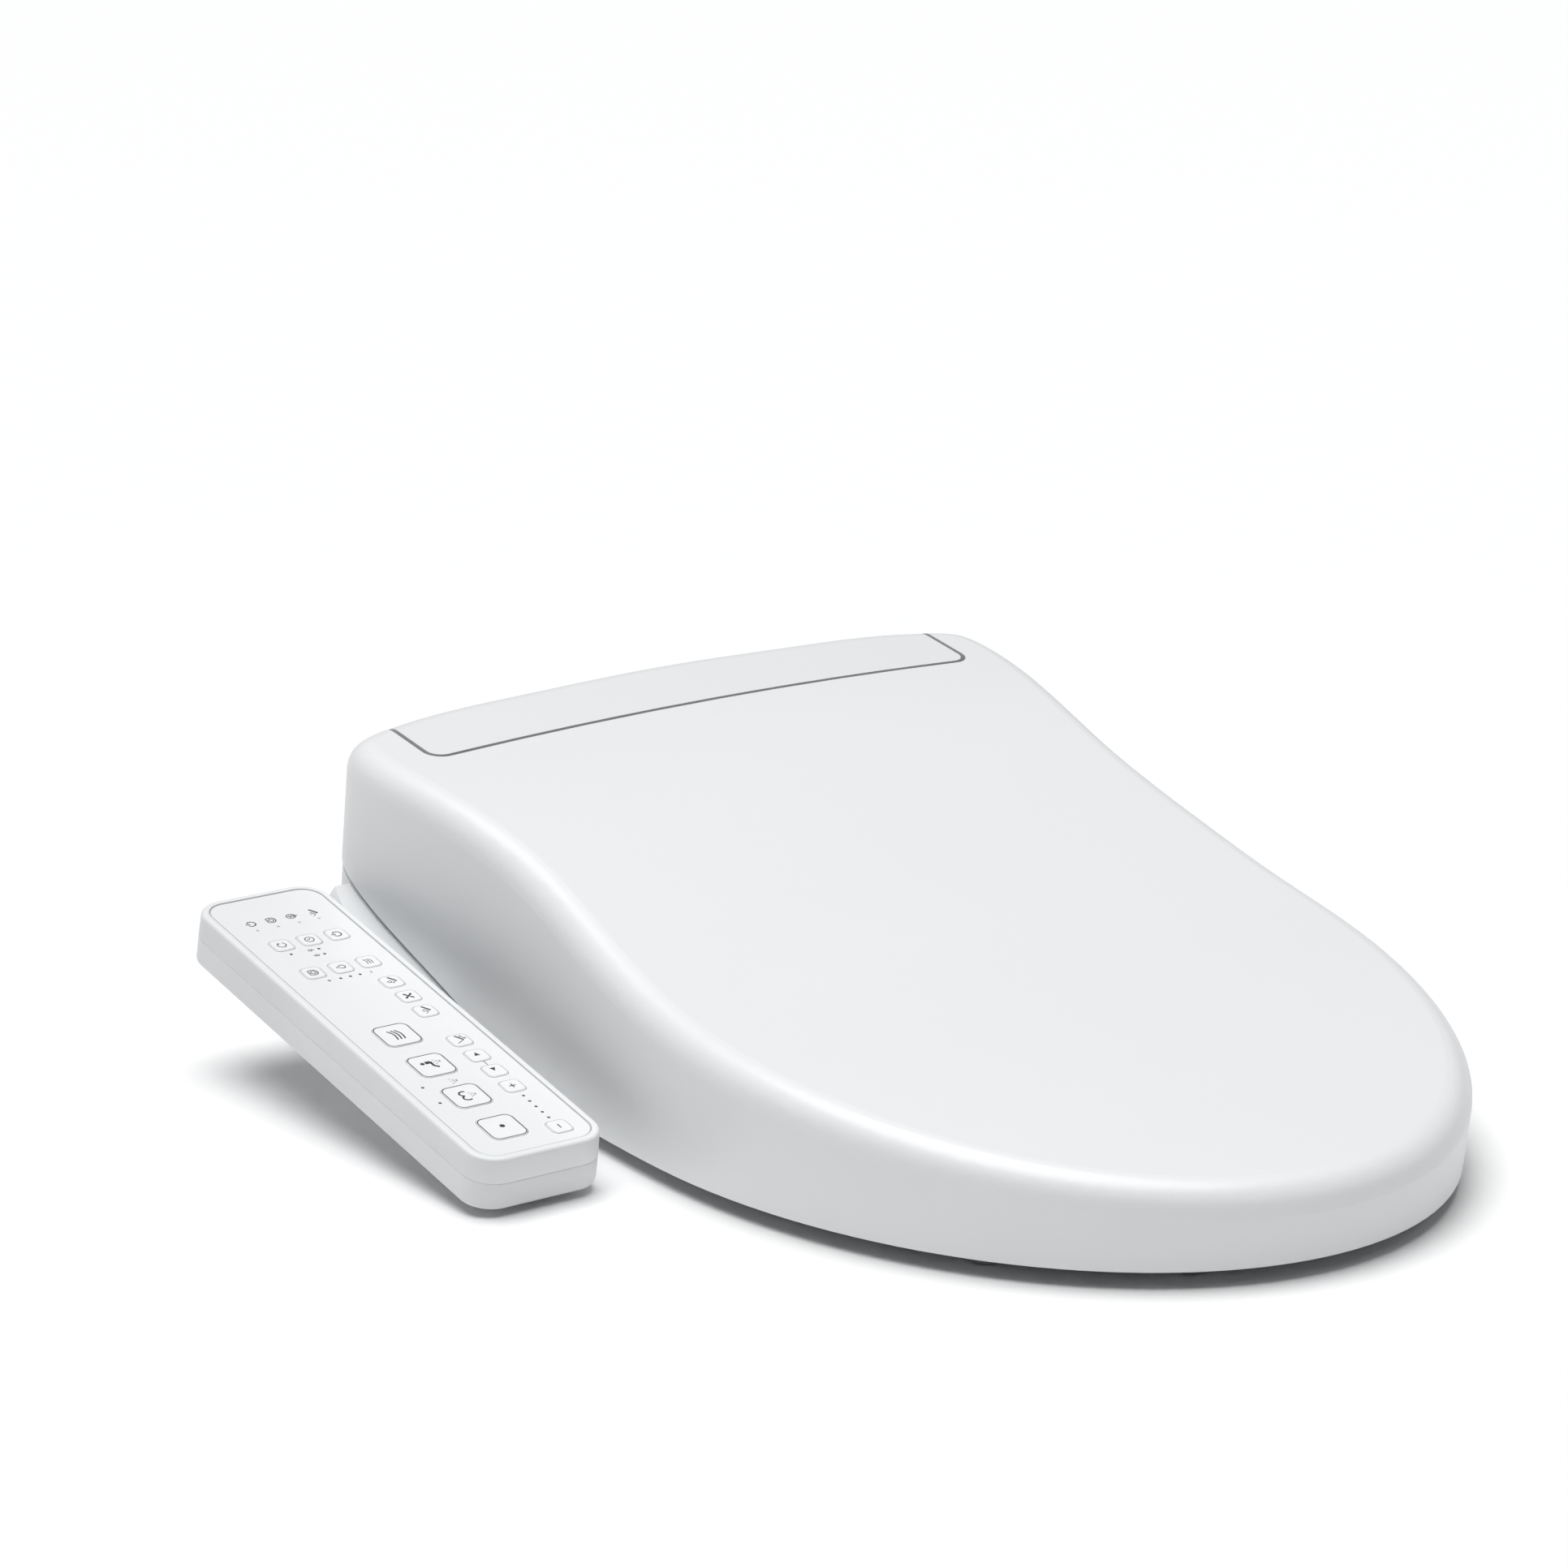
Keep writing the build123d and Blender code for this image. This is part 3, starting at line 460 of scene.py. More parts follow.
FINISHES = {
    "lid_gloss": Finish(tone(0.885, 0.012), tone(0.87, 0.013), 0.33, 0.4, 9.0, 1500.0, 0.0015,
                        coat=0.08),
    "white_gloss": Finish(tone(0.875, 0.011), tone(0.86, 0.012), 0.3, 0.38, 12.0, 1500.0, 0.002,
                          coat=0.08, soft_edge_mm=0.5),
    "white_satin": Finish(tone(0.85, 0.011), tone(0.83, 0.012), 0.38, 0.48, 20.0, 1500.0, 0.02,
                          soft_edge_mm=0.6),
    "label_film": Finish(tone(0.885, 0.009), tone(0.87, 0.01), 0.3, 0.36, 30.0, 2200.0, 0.004,
                         coat=0.15),
    "key_film": Finish(tone(0.9, 0.008), tone(0.885, 0.009), 0.34, 0.42, 60.0, 2600.0, 0.006),
    "plate_grey": Finish(tone(0.36, 0.01), tone(0.31, 0.01), 0.45, 0.6, 25.0, 1300.0, 0.03,
                         soft_edge_mm=0.5),
    "rubber_grey": Finish(tone(0.4), tone(0.35), 0.6, 0.75, 40.0, 1600.0, 0.03,
                          soft_edge_mm=0.6),
    "black_rubber": Finish(tone(0.035), tone(0.022), 0.55, 0.7, 40.0, 1700.0, 0.03,
                           soft_edge_mm=0.4),
    "black_plastic": Finish(tone(0.03), tone(0.02), 0.35, 0.5, 40.0, 1500.0, 0.02,
                            soft_edge_mm=0.4),
    "fitting_plastic": Finish(tone(0.66), tone(0.60), 0.35, 0.45, 40.0, 1400.0, 0.015,
                              soft_edge_mm=0.4),
    "valve_plastic": Finish((0.10, 0.14, 0.22), (0.07, 0.10, 0.17), 0.4, 0.5, 40.0, 1400.0, 0.02,
                            soft_edge_mm=0.4),
    "duct_grey": Finish(tone(0.42), tone(0.37), 0.42, 0.55, 30.0, 1500.0, 0.02,
                        soft_edge_mm=0.4),
    "wand_white": Finish(tone(0.84), tone(0.80), 0.22, 0.32, 40.0, 1200.0, 0.006, coat=0.2),
    "steel": Finish(tone(0.55), tone(0.42), 0.2, 0.38, 20.0, 900.0, 0.01, metallic=1.0,
                    surface=Surface.BRUSHED),
    "heater_steel": Finish(tone(0.50), tone(0.40), 0.3, 0.5, 20.0, 700.0, 0.02, metallic=1.0,
                           surface=Surface.BRUSHED),
    "motor_metal": Finish(tone(0.30), tone(0.24), 0.35, 0.5, 30.0, 900.0, 0.01, metallic=0.8),
    "heater_foil": Finish(tone(0.68), tone(0.58), 0.3, 0.5, 60.0, 500.0, 0.05, metallic=1.0),
    "board_green": Finish((0.03, 0.16, 0.07), (0.015, 0.08, 0.035), surface=Surface.BOARD),
    "light_lens": Finish(tone(0.10), tone(0.07), 0.15, 0.25, 400.0, 2500.0, 0.002, coat=0.5),
    "pale_lens": Finish(tone(0.62), tone(0.56), 0.15, 0.25, 400.0, 2500.0, 0.002, coat=0.5),
    "ink_ring": Finish(tone(0.11, 0.004), tone(0.09, 0.004), 0.4, 0.5, 300.0, 3000.0, 0.002),
    # Pale grey ring round the small keys' faces: painted shade standing for the shading of their
    # edges, not print.
    "key_edge_painted_shade": Finish(tone(0.5), tone(0.46), 0.4, 0.5, 300.0, 3000.0, 0.002),
    "ink_dark": Finish(tone(0.045, 0.003), tone(0.035, 0.003), 0.4, 0.5, 300.0, 3000.0, 0.002),
    "ink_pale": Finish(tone(0.50), tone(0.46), 0.4, 0.5, 300.0, 3000.0, 0.002),
}


class Palette:
    """All materials of the object, made once and given to pieces by name."""

    def __init__(self) -> None:
        """Builds the shared effects and every finish."""
        groups = {Surface.MOULDED: moulded_group(), Surface.BRUSHED: brushed_group(),
                  Surface.BOARD: board_group()}
        self.made = {name: f.material(name, groups) for name, f in FINISHES.items()}

    def dress(self, obj: bpy.types.Object, *names: str) -> None:
        """Gives a piece its materials, in the order of its slots."""
        for number, name in enumerate(names):
            obj.data.materials[number] = self.made[name]

    def dress_frame(self, frame: dict) -> None:
        """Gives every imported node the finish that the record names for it.
        """
        for entry in frame["record"]["subparts"]:
            node = frame["nodes"].get(entry["node"])
            if node is not None:
                for slot in node.material_slots:
                    slot.material = self.made[entry["material_slot"]]


# --- control arm --------------------------------------------------------------
def arc(x: float, y: float, rx: float, ry: float, first: float, last: float,
        count: int = 17) -> np.ndarray:
    """Points on an ellipse's arc, from one angle to another in degrees."""
    a = np.radians(np.linspace(first, last, count))
    return np.stack([x + rx * np.cos(a), y + ry * np.sin(a)], axis=1)


def line(*points: Pair) -> np.ndarray:
    """Points of a broken line."""
    return np.array(points, dtype=float)


def dashes(start: Pair, end: Pair, count: int) -> list[np.ndarray]:
    """Cuts a straight line into short pieces, each as long as the gap after it.

    Args:
        start: Where the first piece starts.
        end: Where the last piece ends.
        count: How many pieces.

    Returns:
        The two ends of each piece.
    """
    a, b = np.array(start), np.array(end)
    share = np.arange(2 * count) / (2 * count - 1)
    points = a + (b - a) * share[:, None]
    return [points[2 * k:2 * k + 2] for k in range(count)]


@dataclass(frozen=True)
class Mark:
    """A printed shape on the label's face: a stroke along a line, or a filled outline at width 0.

    Its line is in its own symbol's axes: x to the rear, y outwards, in millimetres.
    """

    line: np.ndarray
    width: float = 0.45
    closed: bool = False


def strokes(lines: list[np.ndarray], width: float = 0.45) -> list[Mark]:
    """Open strokes of one width."""
    return [Mark(one, width) for one in lines]


def spray(x: float, y: float, reach: float) -> list[Mark]:
    """Three dashed jets that fan out upwards.

    Args:
        x: Place of their source.
        y: Height of their source.
        reach: Height of the jets.

    Returns:
        The dashes.
    """
    jets = []
    for side in (-0.6, 0.0, 0.6):
        jets += dashes((x + 0.15 * reach * side, y), (x + reach * side, y + reach), 3)
    return strokes(jets, 0.28)


def moved(marks: list[Mark], dx: float, dy: float) -> list[Mark]:
    """The same marks, moved on their symbol's axes."""
    return [replace(mark, line=mark.line + (dx, dy)) for mark in marks]


def wand_bar() -> list[Mark]:
    """The thick slanted bar that stands for the wand."""
    return [Mark(line((-0.4, -2.5), (3.9, 0.2)), 0.85)]


def power() -> list[Mark]:
    """Ring with a gap at its top and a bar in the gap."""
    return strokes([arc(0, 0, 2.1, 2.1, 118, 422, 25), line((0, 0.6), (0, 2.9))], 0.5)


def jets_left() -> list[Mark]:
    """Jets that leave the wand's end at its upper left.

    Returns:
        Their marks.
    """
    lines = [line((-0.5, -1.3), (-1.9, 0.1)), line((0.2, -0.9), (-0.5, 0.5)),
             line((-2.3, 0.5), (-2.7, 0.9)), line((-0.6, 1.0), (-0.9, 1.7)),
             line((1.0, -0.3), (0.6, 1.4))]
    return strokes(lines, 0.4)


def drop(x: float, y: float, size: float) -> np.ndarray:
    """Outline of a water drop with its point at the top."""
    return np.concatenate([arc(x, y, size, size, 150, 390, 13), line((x, y + 2.1 * size))])


def waves(width: float, count: int, step: float, wide: float) -> list[Mark]:
    """Wavy lines one over another, whose right ends rise.

    Args:
        width: Width of each line's stroke.
        count: How many lines.
        step: Distance from one line to the next.
        wide: Length that each line covers.

    Returns:
        Their marks.
    """
    x = np.linspace(-0.5, 0.5, 17)
    rise = 0.16 * np.clip(x * 2, 0, 1) ** 1.6 - 0.06 * np.sin((x + 0.5) * math.pi)
    rows = (np.arange(count) - (count - 1) / 2) * step
    return strokes([np.stack([x * wide, r + rise * wide], axis=1) for r in rows], width)


def seat_mark() -> list[Mark]:
    """A seat from above: a rounded shield with a ring inside.

    Returns:
        Its marks.
    """
    top = line((-2.0, 2.1), (2.0, 2.1))
    shell = np.concatenate([top, arc(0, 0, 2.35, 2.4, 30, -210, 21)])
    return [Mark(shell, 0.42, True), Mark(arc(0, -0.1, 1.2, 1.3, 0, LAST_STEP, 24), 0.42, True)]


def fan_mark() -> list[Mark]:
    """Four curved blades round a small hub.

    Returns:
        Its marks.
    """
    marks = [Mark(arc(0, 0, 0.55, 0.55, 0, 330, 12), 0.0)]
    for quarter in range(4):
        a = math.radians(45 + 90 * quarter)
        turn = np.array([[math.cos(a), -math.sin(a)], [math.sin(a), math.cos(a)]])
        blade = line((0.4, -0.25), (1.3, -0.75), (2.4, -0.85), (3.0, -0.3), (2.7, 0.35),
                     (1.7, 0.25), (0.5, 0.35))
        marks.append(Mark(blade @ turn.T, 0.0))
    return marks


def sitter() -> list[Mark]:
    """A plain seated figure over a spray.

    Returns:
        Its marks.
    """
    return [Mark(arc(2.2, 3.6, 1.05, 1.05, 0, LAST_STEP, 18), 0.0),
            Mark(line((2.4, 2.1), (2.5, -0.6)), 1.8),
            Mark(line((2.9, -0.75), (-0.9, -0.75), (-2.7, -2.7)), 1.1)] + spray(1.9, -5.6, 3.2)


def curve_over_spray() -> list[Mark]:
    """Two joined round lobes over a spray.

    Returns:
        Its marks.
    """
    lobes = np.concatenate([arc(-1.9, 0.4, 1.9, 2.3, 215, 20, 15),
                            arc(1.9, 0.4, 1.9, 2.3, 160, -35, 15)])
    return [Mark(lobes, 0.75)] + spray(0.0, -4.8, 3.0)


def minus(size: float, width: float) -> list[Mark]:
    """A minus sign, or a short joining line."""
    return strokes([line((-size / 2, 0), (size / 2, 0))], width)


def plus(size: float, width: float) -> list[Mark]:
    """A plus sign."""
    return minus(size, width) + strokes([line((0, -size / 2), (0, size / 2))], width)


def pointer(side: int) -> list[Mark]:
    """A filled arrowhead, to the front for -1 or to the rear for 1."""
    back, tip = 1.0 - 1.4 * side, 1.0 + 1.5 * side
    return [Mark(line((back, 1.5), (back, -1.5), (tip, 0)), 0.0)]


def swing_mark() -> list[Mark]:
    """The wand, its jet and a small arrow that points both ways.

    Returns:
        Its marks.
    """
    lines = [line((-2.6, 2.2), (-0.5, -1.7)), line((0.5, -3.2), (3.3, -1.6)),
             line((1.3, -3.6), (0.4, -3.3), (0.8, -2.4)),
             line((2.6, -1.3), (3.4, -1.6), (3.1, -2.4))]
    return [Mark(line((-0.4, -1.9), (4.0, 0.6)), 0.8)] + strokes(lines, 0.35)


def timer_mark() -> list[Mark]:
    """A clock face with two hands."""
    return [Mark(arc(0, 0, 2.2, 2.2, 0, 350, 28), 0.4, True)] + strokes(
        [line((0, 1.4), (0, 0), (1.1, -0.6))], 0.4)


def auto_mark() -> list[Mark]:
    """A circular arrow."""
    head = line((2.05, 1.75), (2.0, 0.35), (0.75, 0.95))
    return strokes([arc(0, 0, 2.1, 2.1, 35, 335, 25)], 0.4) + [Mark(head, 0.0)]


def leaf_mark() -> list[Mark]:
    """A leaf with veins and a stem.

    Returns:
        Its marks.
    """
    return [Mark(arc(0, 0.3, 2.0, 2.3, 0, LAST_STEP, 26), 0.4, True)] + strokes(
        [line((0, 2.0), (0, -3.2)), line((-1.3, 1.1), (0, 0), (1.3, 1.1)),
         line((-1.2, -0.5), (0, -1.5), (1.2, -0.5))], 0.35)


def six(turned: bool) -> list[Mark]:
    """The digit 6, or 9 when it is turned half round.

    Args:
        turned: True for the 9.

    Returns:
        Its marks.
    """
    loop = arc(0, -0.5, 0.75, 0.85, 0, LAST_STEP, 18)
    tail = line((-0.72, -0.4), (-0.6, 0.35), (-0.1, 1.05), (0.6, 1.35))
    sign = -1.0 if turned else 1.0
    return [Mark(loop * sign, 0.34, True), Mark(tail * sign, 0.34)]


class KeySize(Enum):
    """Width, length, corner radius and ring width of a key, in millimetres."""

    LARGE = (19.0, 19.6, 4.2, 0.62)
    SMALL = (10.7, 10.9, 3.0, 0.34)


@dataclass(frozen=True)
class Key:
    """One key: its place across and along the label, its size and its symbol."""

    across: float
    run: float
    size: KeySize
    marks: list[Mark]


LEFT, MIDDLE, RIGHT, WIDE = -13.6, 1.3, 16.2, -7.9
KEYS = {
    "auto": Key(LEFT, 207.8, KeySize.SMALL, auto_mark()),
    "timer": Key(MIDDLE, 207.8, KeySize.SMALL, timer_mark()),
    "power": Key(RIGHT, 207.8, KeySize.SMALL, power()),
    "seat_warmth": Key(LEFT, 178.6, KeySize.SMALL, seat_mark()),
    "water_warmth": Key(MIDDLE, 178.6, KeySize.SMALL, [Mark(drop(0, -0.7, 1.5), 0.42, True)]),
    "dryer_warmth": Key(RIGHT, 178.6, KeySize.SMALL, waves(0.36, 3, 1.35, 4.6)),
    "wand_wash": Key(RIGHT, 157.4, KeySize.SMALL,
                     wand_bar() + [Mark(drop(-0.2, 0.9, 0.8), 0.35, True)] + jets_left()[:1]),
    "fan": Key(RIGHT, 142.2, KeySize.SMALL, fan_mark()),
    "wand_clean": Key(RIGHT, 127.0, KeySize.SMALL, wand_bar() + jets_left()),
    "oscillate": Key(RIGHT, 96.9, KeySize.SMALL, swing_mark()),
    "wand_back": Key(RIGHT, 81.7, KeySize.SMALL, pointer(1)),
    "wand_forward": Key(RIGHT, 66.6, KeySize.SMALL, pointer(-1)),
    "pressure_up": Key(RIGHT, 51.4, KeySize.SMALL, plus(3.4, 0.5)),
    "pressure_down": Key(RIGHT, 12.0, KeySize.SMALL, minus(3.4, 0.5)),
    "dryer": Key(WIDE, 112.1, KeySize.LARGE, waves(0.62, 3, 1.9, 8.4)),
    "front_wash": Key(WIDE, 81.8, KeySize.LARGE, sitter()),
    "rear_wash": Key(WIDE, 51.6, KeySize.LARGE, curve_over_spray()),
    "stop": Key(WIDE, 21.5, KeySize.LARGE, [Mark(arc(0.6, -0.4, 1.3, 1.3, 0, LAST_STEP, 24), 0.0)]),
}


@dataclass
class ControlArm:
    """The arm beside the seat: its casing, keys, printed symbols and lamp windows.

    Places are on the label's axes: across to the right, run to the rear, and height off its face.
    front is where the label's front end meets its middle line, and slope how steeply it rises.
    border is how far the casing's outline stands outside the label's, and case_corner the
    radius of its corners. Every other place on the casing is an inset from that outline or a
    height: face is the rim round the label, seam the joint between the halves, depth the
    underside (downwards), pocket and pocket_floor the well round the label, pocket_seam and wall
    the inner walls of the upper and the lower half, and bottom the thickness under the hollow.
    round_top and round_low are the radii of the edges, and spread_seam and spread_low how far
    the outer walls lean out. A flat face closes where its corners have the radius that
    key_last_corner and case_last_corner give.
    """

    front: Triple = (-242.2, -202.9, 28.6)
    slope: float = math.radians(11.63)
    width: float = 60.4
    length: float = 254.9
    corner: float = 10.5
    border: float = 4.0
    case_corner: float = 14.5
    seam: float = -12.0
    depth: float = 25.5
    key_top: float = 0.3
    key_bottom: float = -5.5
    key_edge: float = 0.35
    key_last_corner: float = 0.2
    ink: float = 0.035
    stroke: float = 1.2
    lamp: float = 0.75
    lamp_sides: int = 16
    lamp_root: float = -0.6
    lamp_rise: float = 0.12
    lamp_reach: float = 1.35
    edge_line: float = 0.42
    edge_inset: float = 0.25
    face: float = 0.35
    pocket: float = 3.8
    pocket_floor: float = -4.0
    pocket_seam: float = 3.4
    wall: float = 2.6
    bottom: float = 3.0
    case_last_corner: float = 0.5
    round_top: float = 1.9
    round_low: float = 2.3
    spread_seam: float = 0.35
    spread_low: float = 0.55
    seam_gap: float = 0.05
    seam_round: float = 0.08
    lamps_pale: tuple = ((-16.7, 225.2), (-5.5, 225.2), (5.9, 225.2), (16.7, 225.2))
    lamps_dark: tuple = ((-13.8, 198.6), (1.1, 198.6), (1.1, 193.2), (-4.1, 169.4), (1.1, 169.4),
                         (6.3, 169.4), (-22.3, 65.8), (-22.3, 50.8), (16.2, 20.8), (16.2, 26.1),
                         (16.2, 31.4), (16.2, 36.7), (16.2, 42.0))

    def place(self, points: np.ndarray) -> np.ndarray:
        """Turns places on the label's axes into places in the frame.

        Args:
            points: Rows of across, run and height.

        Returns:
            Rows of x, y and z.
        """
        c, s = math.cos(self.slope), math.sin(self.slope)
        x, y, z = np.moveaxis(points, -1, 0)
        return np.stack([self.front[0] + x, self.front[1] + y * c - z * s,
                         self.front[2] + y * s + z * c], axis=-1)

    def rows(self, loops: list[np.ndarray], heights: list[float]) -> np.ndarray:
        """A grid whose rows are flat loops, each at its own height."""
        grid = [np.column_stack([loop, np.full(len(loop), z)]) for loop, z in zip(loops, heights)]
        return self.place(np.array(grid))

    def mark_sheet(self, mark: Mark, across: float, run: float, height: float,
                   slot: int) -> Sheet:
        """The raised ink of one mark.

        A stroke is a flat bar carried along its line; a filled outline is a thin plate.

        Args:
            mark: The shape.
            across: Its symbol's place across the label.
            run: Its symbol's place along the label.
            height: Height of the surface under it.
            slot: Material slot.

        Returns:
            Its surface.
        """
        low, high = height - INK_ROOT, height + self.ink

        def flat(points: np.ndarray) -> np.ndarray:
            """Turns the symbol's axes to the label's."""
            return np.stack([across - points[:, 1], run + points[:, 0]], axis=1)

        if not mark.width:
            loop = flat(mark.line)
            return Sheet(self.rows([loop, loop], [low, high]), True, True, True, slot)
        side = left_of(mark.line, mark.closed) * mark.width * self.stroke / 2
        a, b = flat(mark.line + side), flat(mark.line - side)
        grid = self.rows([a, a, b, b], [low, high, high, low]).transpose(1, 0, 2)
        if mark.closed:
            grid = np.concatenate([grid, grid[:1]])
        return Sheet(grid, True, not mark.closed, not mark.closed, slot)

    def key(self, name: str, key: Key, palette: Palette) -> bpy.types.Object:
        """One key: a straight wall, a rounded edge, a ring, and a flat face with its symbol; the
        ring is dark ink on a large key and a pale ring of painted edge shade on a small one.

        Args:
            name: The key's name.
            key: Its place, size and symbol.
            palette: The materials.

        Returns:
            The finished key.
        """
        wide, long, corner, ring = key.size.value

        def loop(inset: float) -> np.ndarray:
            """The key's outline, moved inwards."""
            return rounded_loop(wide - 2 * inset, long - 2 * inset, corner - inset, 6, 3) + (
                key.across, key.run)

        turn = np.linspace(0.0, math.pi / 2, 4)
        insets = [0.0] + list(self.key_edge * (1 - np.cos(turn)))
        heights = [self.key_bottom] + list(self.key_top - self.key_edge * (1 - np.sin(turn)))
        inner = self.key_edge + ring
        wall = Sheet(self.rows([loop(i) for i in insets], heights), True, cap_first=True)
        up = tuple(self.place(np.array([0.0, 0.0, 1.0])) - self.place(np.zeros(3)))
        # The band is the key's ring: dark ink on a large key, a pale ring of painted edge shade on
        # a small one.
        band = Sheet(self.rows([loop(self.key_edge), loop(inner)], [self.key_top] * 2), True,
                     slot=1, toward=up)
        face = Sheet(self.rows([loop(inner), loop(corner - self.key_last_corner)],
                               [self.key_top] * 2), True, cap_last=True, toward=up)
        marks = [self.mark_sheet(m, key.across, key.run, self.key_top, 2) for m in key.marks]
        obj = build(f"cap_{name}", [wall, band, face] + marks)
        large = key.size is KeySize.LARGE
        # Small keys get the pale ring of painted edge shade; large keys get a printed dark ring.
        palette.dress(obj, "key_film", "ink_ring" if large else "key_edge_painted_shade", "ink_dark")
        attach(obj, f"key_{name}")
        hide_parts(f"key_{name}")
        return obj

    def label_print(self, palette: Palette) -> bpy.types.Object:
        """Everything printed on the label itself: edge line, symbols, digits and signs.

        Args:
            palette: The materials.

        Returns:
            The print, as one piece.
        """
        inset = self.edge_inset
        edge = rounded_loop(self.width - 2 * inset, self.length - 2 * inset,
                            self.corner - inset, 10, 20)
        edge = np.stack([edge[:, 1], -edge[:, 0]], axis=1)
        sheets = [self.mark_sheet(Mark(edge, self.edge_line, True), 0.0, self.length / 2, 0.0, 1)]
        symbols = [
            (-16.3, 231.9, power()), (-5.7, 231.9, seat_mark()), (5.4, 231.9, leaf_mark()),
            (16.8, 231.9, moved(wand_bar() + jets_left(), -1.2, 0.4)),
            (-3.2, 193.2, six(False)), (-3.2, 198.6, six(True)),
            (-10.2, 169.4, plus(1.9, 0.34)), (12.3, 169.4, minus(1.9, 0.34)),
            (-6.4, 65.8, spray(0, -2.2, 3.4)), (16.2, 74.15, minus(4.0, 0.3)),
        ]
        for across, run, marks in symbols:
            sheets += [self.mark_sheet(m, across, run, 0.0, 0) for m in marks]
        obj = build("label_print", sheets)
        palette.dress(obj, "ink_dark", "ink_pale")
        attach(obj, "base")
        return obj

    def lamps(self, palette: Palette) -> bpy.types.Object:
        """Small domed lamp windows: dark ones beside the keys, pale ones under the status row.

        Args:
            palette: The materials.

        Returns:
            The windows, as one piece.
        """
        turn = np.linspace(0.0, self.lamp_reach, 5)
        radii = [self.lamp] + list(self.lamp * np.cos(turn))
        rise = self.lamp_rise / math.sin(self.lamp_reach)
        heights = [self.lamp_root] + list(rise * np.sin(turn))
        ring = arc(0, 0, 1, 1, 0, 360 - 360 / self.lamp_sides, self.lamp_sides)
        sheets = []
        for slot, spots in enumerate((self.lamps_dark, self.lamps_pale)):
            for spot in spots:
                loops = [ring * r + spot for r in radii]
                sheets.append(Sheet(self.rows(loops, heights), True, True, True, slot))
        obj = build("lamp_windows", sheets)
        palette.dress(obj, "light_lens", "pale_lens")
        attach(obj, "base")
        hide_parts("status_lights")
        return obj

    def outline(self, inset: float) -> np.ndarray:
        """The casing's outline.

        Args:
            inset: How far it is moved inwards.

        Returns:
            The closed loop on the label's axes.
        """
        grow = 2 * (self.border - inset)
        loop = rounded_loop(self.width + grow, self.length + grow, self.case_corner - inset,
                            12, 24)
        return loop + (0.0, self.length / 2)

    def casing(self, palette: Palette, name: str, stands_for: str,
               profile: list[Pair]) -> bpy.types.Object:
        """One half of the casing: a profile of inset and height, carried round the outline.

        Args:
            palette: The materials.
            name: The piece's name.
            stands_for: The node that it replaces.
            profile: The profile's points; a first or last one far inside closes the form.

        Returns:
            The finished half.
        """
        insets, heights = zip(*profile)
        closed = max(insets) > self.case_corner - 1
        loops, levels = [self.outline(i) for i in insets], list(heights)
        if not closed:
            loops, levels = loops + loops[:1], levels + levels[:1]
        sheet = Sheet(self.rows(loops, levels), True, closed, closed)
        obj = build(name, [sheet], bevel=self.seam_round)
        palette.dress(obj, "white_satin")
        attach(obj, "base")
        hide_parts(stands_for)
        return obj

    def casings(self, palette: Palette) -> None:
        """Both halves: straight walls that spread a little downwards, with round edges.

        Args:
            palette: The materials.
        """
        turn = np.linspace(0.0, math.pi / 2, 7)
        top, low, under = self.round_top, self.round_low, self.seam - self.seam_gap
        upper_edge = [(top * (1 - math.cos(a)), self.face - top * (1 - math.sin(a)))
                      for a in turn]
        lower_edge = [(low * (1 - math.cos(a)) - self.spread_low,
                       low * (1 - math.sin(a)) - self.depth) for a in turn]
        self.casing(palette, "arm_upper_shell", "arm_upper_case", [
            (-self.spread_seam, self.seam), *upper_edge, (self.pocket, self.face),
            (self.pocket, self.pocket_floor), (self.pocket_seam, self.seam)])
        deep, floor = self.case_corner - self.case_last_corner, self.bottom - self.depth
        self.casing(palette, "arm_lower_shell", "arm_lower_case", [
            (deep, -self.depth), *lower_edge[::-1], (-self.spread_seam, under),
            (self.wall, under), (self.wall, floor), (deep, floor)])

    def make(self, palette: Palette) -> None:
        """Builds the casing, the keys, the print and the lamps.

        Args:
            palette: The materials.
        """
        self.casings(palette)
        for name, key in KEYS.items():
            self.key(name, key, palette)
        self.label_print(palette)
        self.lamps(palette)
        LOG.info("control arm done: casing, %d keys, print and lamps", len(KEYS))


# --- studio -------------------------------------------------------------------
@dataclass(frozen=True)
class SoftSun:
    """A broad, even light.

    lean is its angle from straight above, toward the side that it comes from (from +X to +Y)
    and wide the angle that it fills in the sky, all in degrees. power is its strength.
    """

    name: str
    lean: float
    toward: float
    wide: float
    power: float

    def hang(self) -> None:
        """Adds the light to the scene."""
        data = bpy.data.lights.new(self.name, "SUN")
        data.angle, data.energy = math.radians(self.wide), self.power
        light = bpy.data.objects.new(self.name, data)
        bpy.context.scene.collection.objects.link(light)
        light.rotation_euler = (0.0, math.radians(self.lean), math.radians(self.toward))


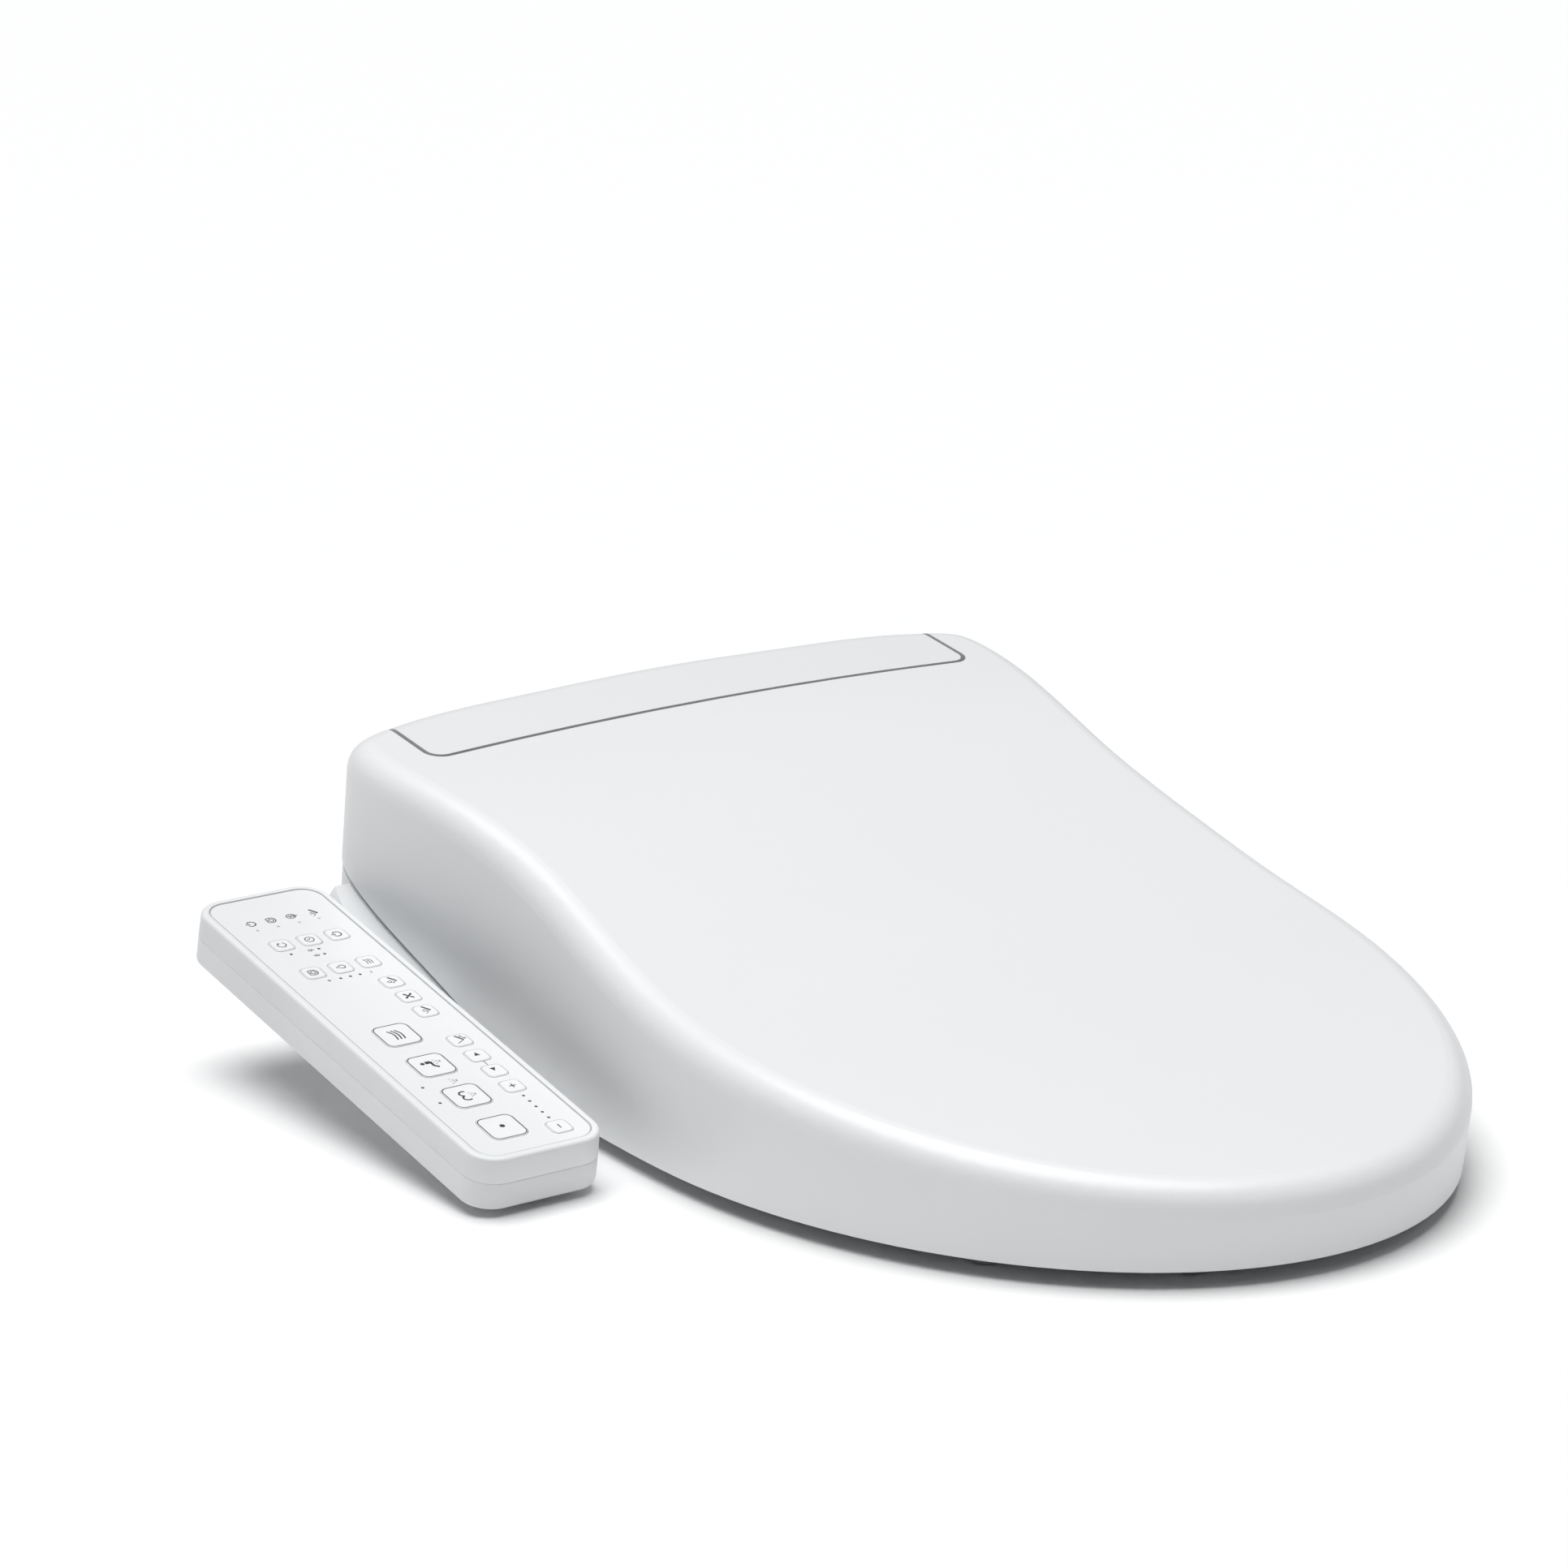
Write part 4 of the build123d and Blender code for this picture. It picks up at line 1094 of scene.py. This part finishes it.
@dataclass
class Studio:
    """Pale floor, soft lights and camera, in metres and, for the camera's turn, radians."""

    floor_half: float = 14.0
    floor_gap: float = 0.0005
    camera_place: Triple = (-1.43472, -2.0779, 0.83552)
    camera_turn: Triple = (math.radians(73.90), 0.0, math.radians(-35.20))
    lens: float = 122.63
    sensor: float = 36.0
    clip: Pair = (0.05, 100.0)
    floor_tone: float = 0.94
    floor_roughness: float = 0.9
    floor_shine: float = 0.1
    sky: Triple = (0.92, 0.96, 1.0)
    sky_strength: float = 0.08
    suns: tuple = (SoftSun("overhead", 7.0, 150.0, 52.0, 3.12),
                   SoftSun("front_right", 62.0, -15.0, 50.0, 0.1))

    def floor(self, low: float) -> None:
        """Lays the floor just under the object.

        Args:
            low: Height of the object's lowest point.
        """
        side = np.linspace(-self.floor_half, self.floor_half, 3) / METRE
        x, y = np.meshgrid(side, side, indexing="ij")
        points = np.stack([x, y, np.full_like(x, (low - self.floor_gap) / METRE)], axis=-1)
        obj = build("studio_floor", [Sheet(points, toward=(0.0, 0.0, 1.0))])
        made = bpy.data.materials.new("studio_floor")
        made.use_nodes = True
        shader = made.node_tree.nodes["Principled BSDF"]
        shader.inputs["Base Color"].default_value = (*[self.floor_tone] * 3, 1.0)
        shader.inputs["Roughness"].default_value = self.floor_roughness
        shader.inputs["Specular IOR Level"].default_value = self.floor_shine
        obj.data.materials[0] = made
        obj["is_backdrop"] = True

    def lights(self) -> None:
        """A broad light overhead, a weak one at the front right and an even sky."""
        for sun in self.suns:
            sun.hang()
        world = bpy.data.worlds.new("even_sky")
        world.use_nodes = True
        sky = world.node_tree.nodes["Background"]
        sky.inputs["Color"].default_value = (*self.sky, 1.0)
        sky.inputs["Strength"].default_value = self.sky_strength
        bpy.context.scene.world = world
        bpy.context.scene.view_settings.view_transform = "Standard"

    def camera(self) -> None:
        """Stands the camera at the front left, a little above the lid."""
        data = bpy.data.cameras.new("camera")
        data.lens, data.sensor_width = self.lens, self.sensor
        data.clip_start, data.clip_end = self.clip
        made = bpy.data.objects.new("camera", data)
        bpy.context.scene.collection.objects.link(made)
        made.location, made.rotation_euler = self.camera_place, self.camera_turn
        bpy.context.scene.camera = made


def box_lists() -> list[list[float]]:
    """Lowest and highest corner of what is shown, as plain numbers."""
    return [[float(v) for v in corner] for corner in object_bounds()]


def main() -> None:
    """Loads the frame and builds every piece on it."""
    logging.basicConfig(level=logging.INFO, format="%(name)s: %(message)s")
    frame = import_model()
    cad_box = box_lists()
    palette = Palette()
    palette.dress_frame(frame)
    ControlArm().make(palette)
    studio = Studio()
    studio.camera()
    studio.lights()
    studio.floor(cad_box[0][2])


if __name__ == "__main__":
    main()
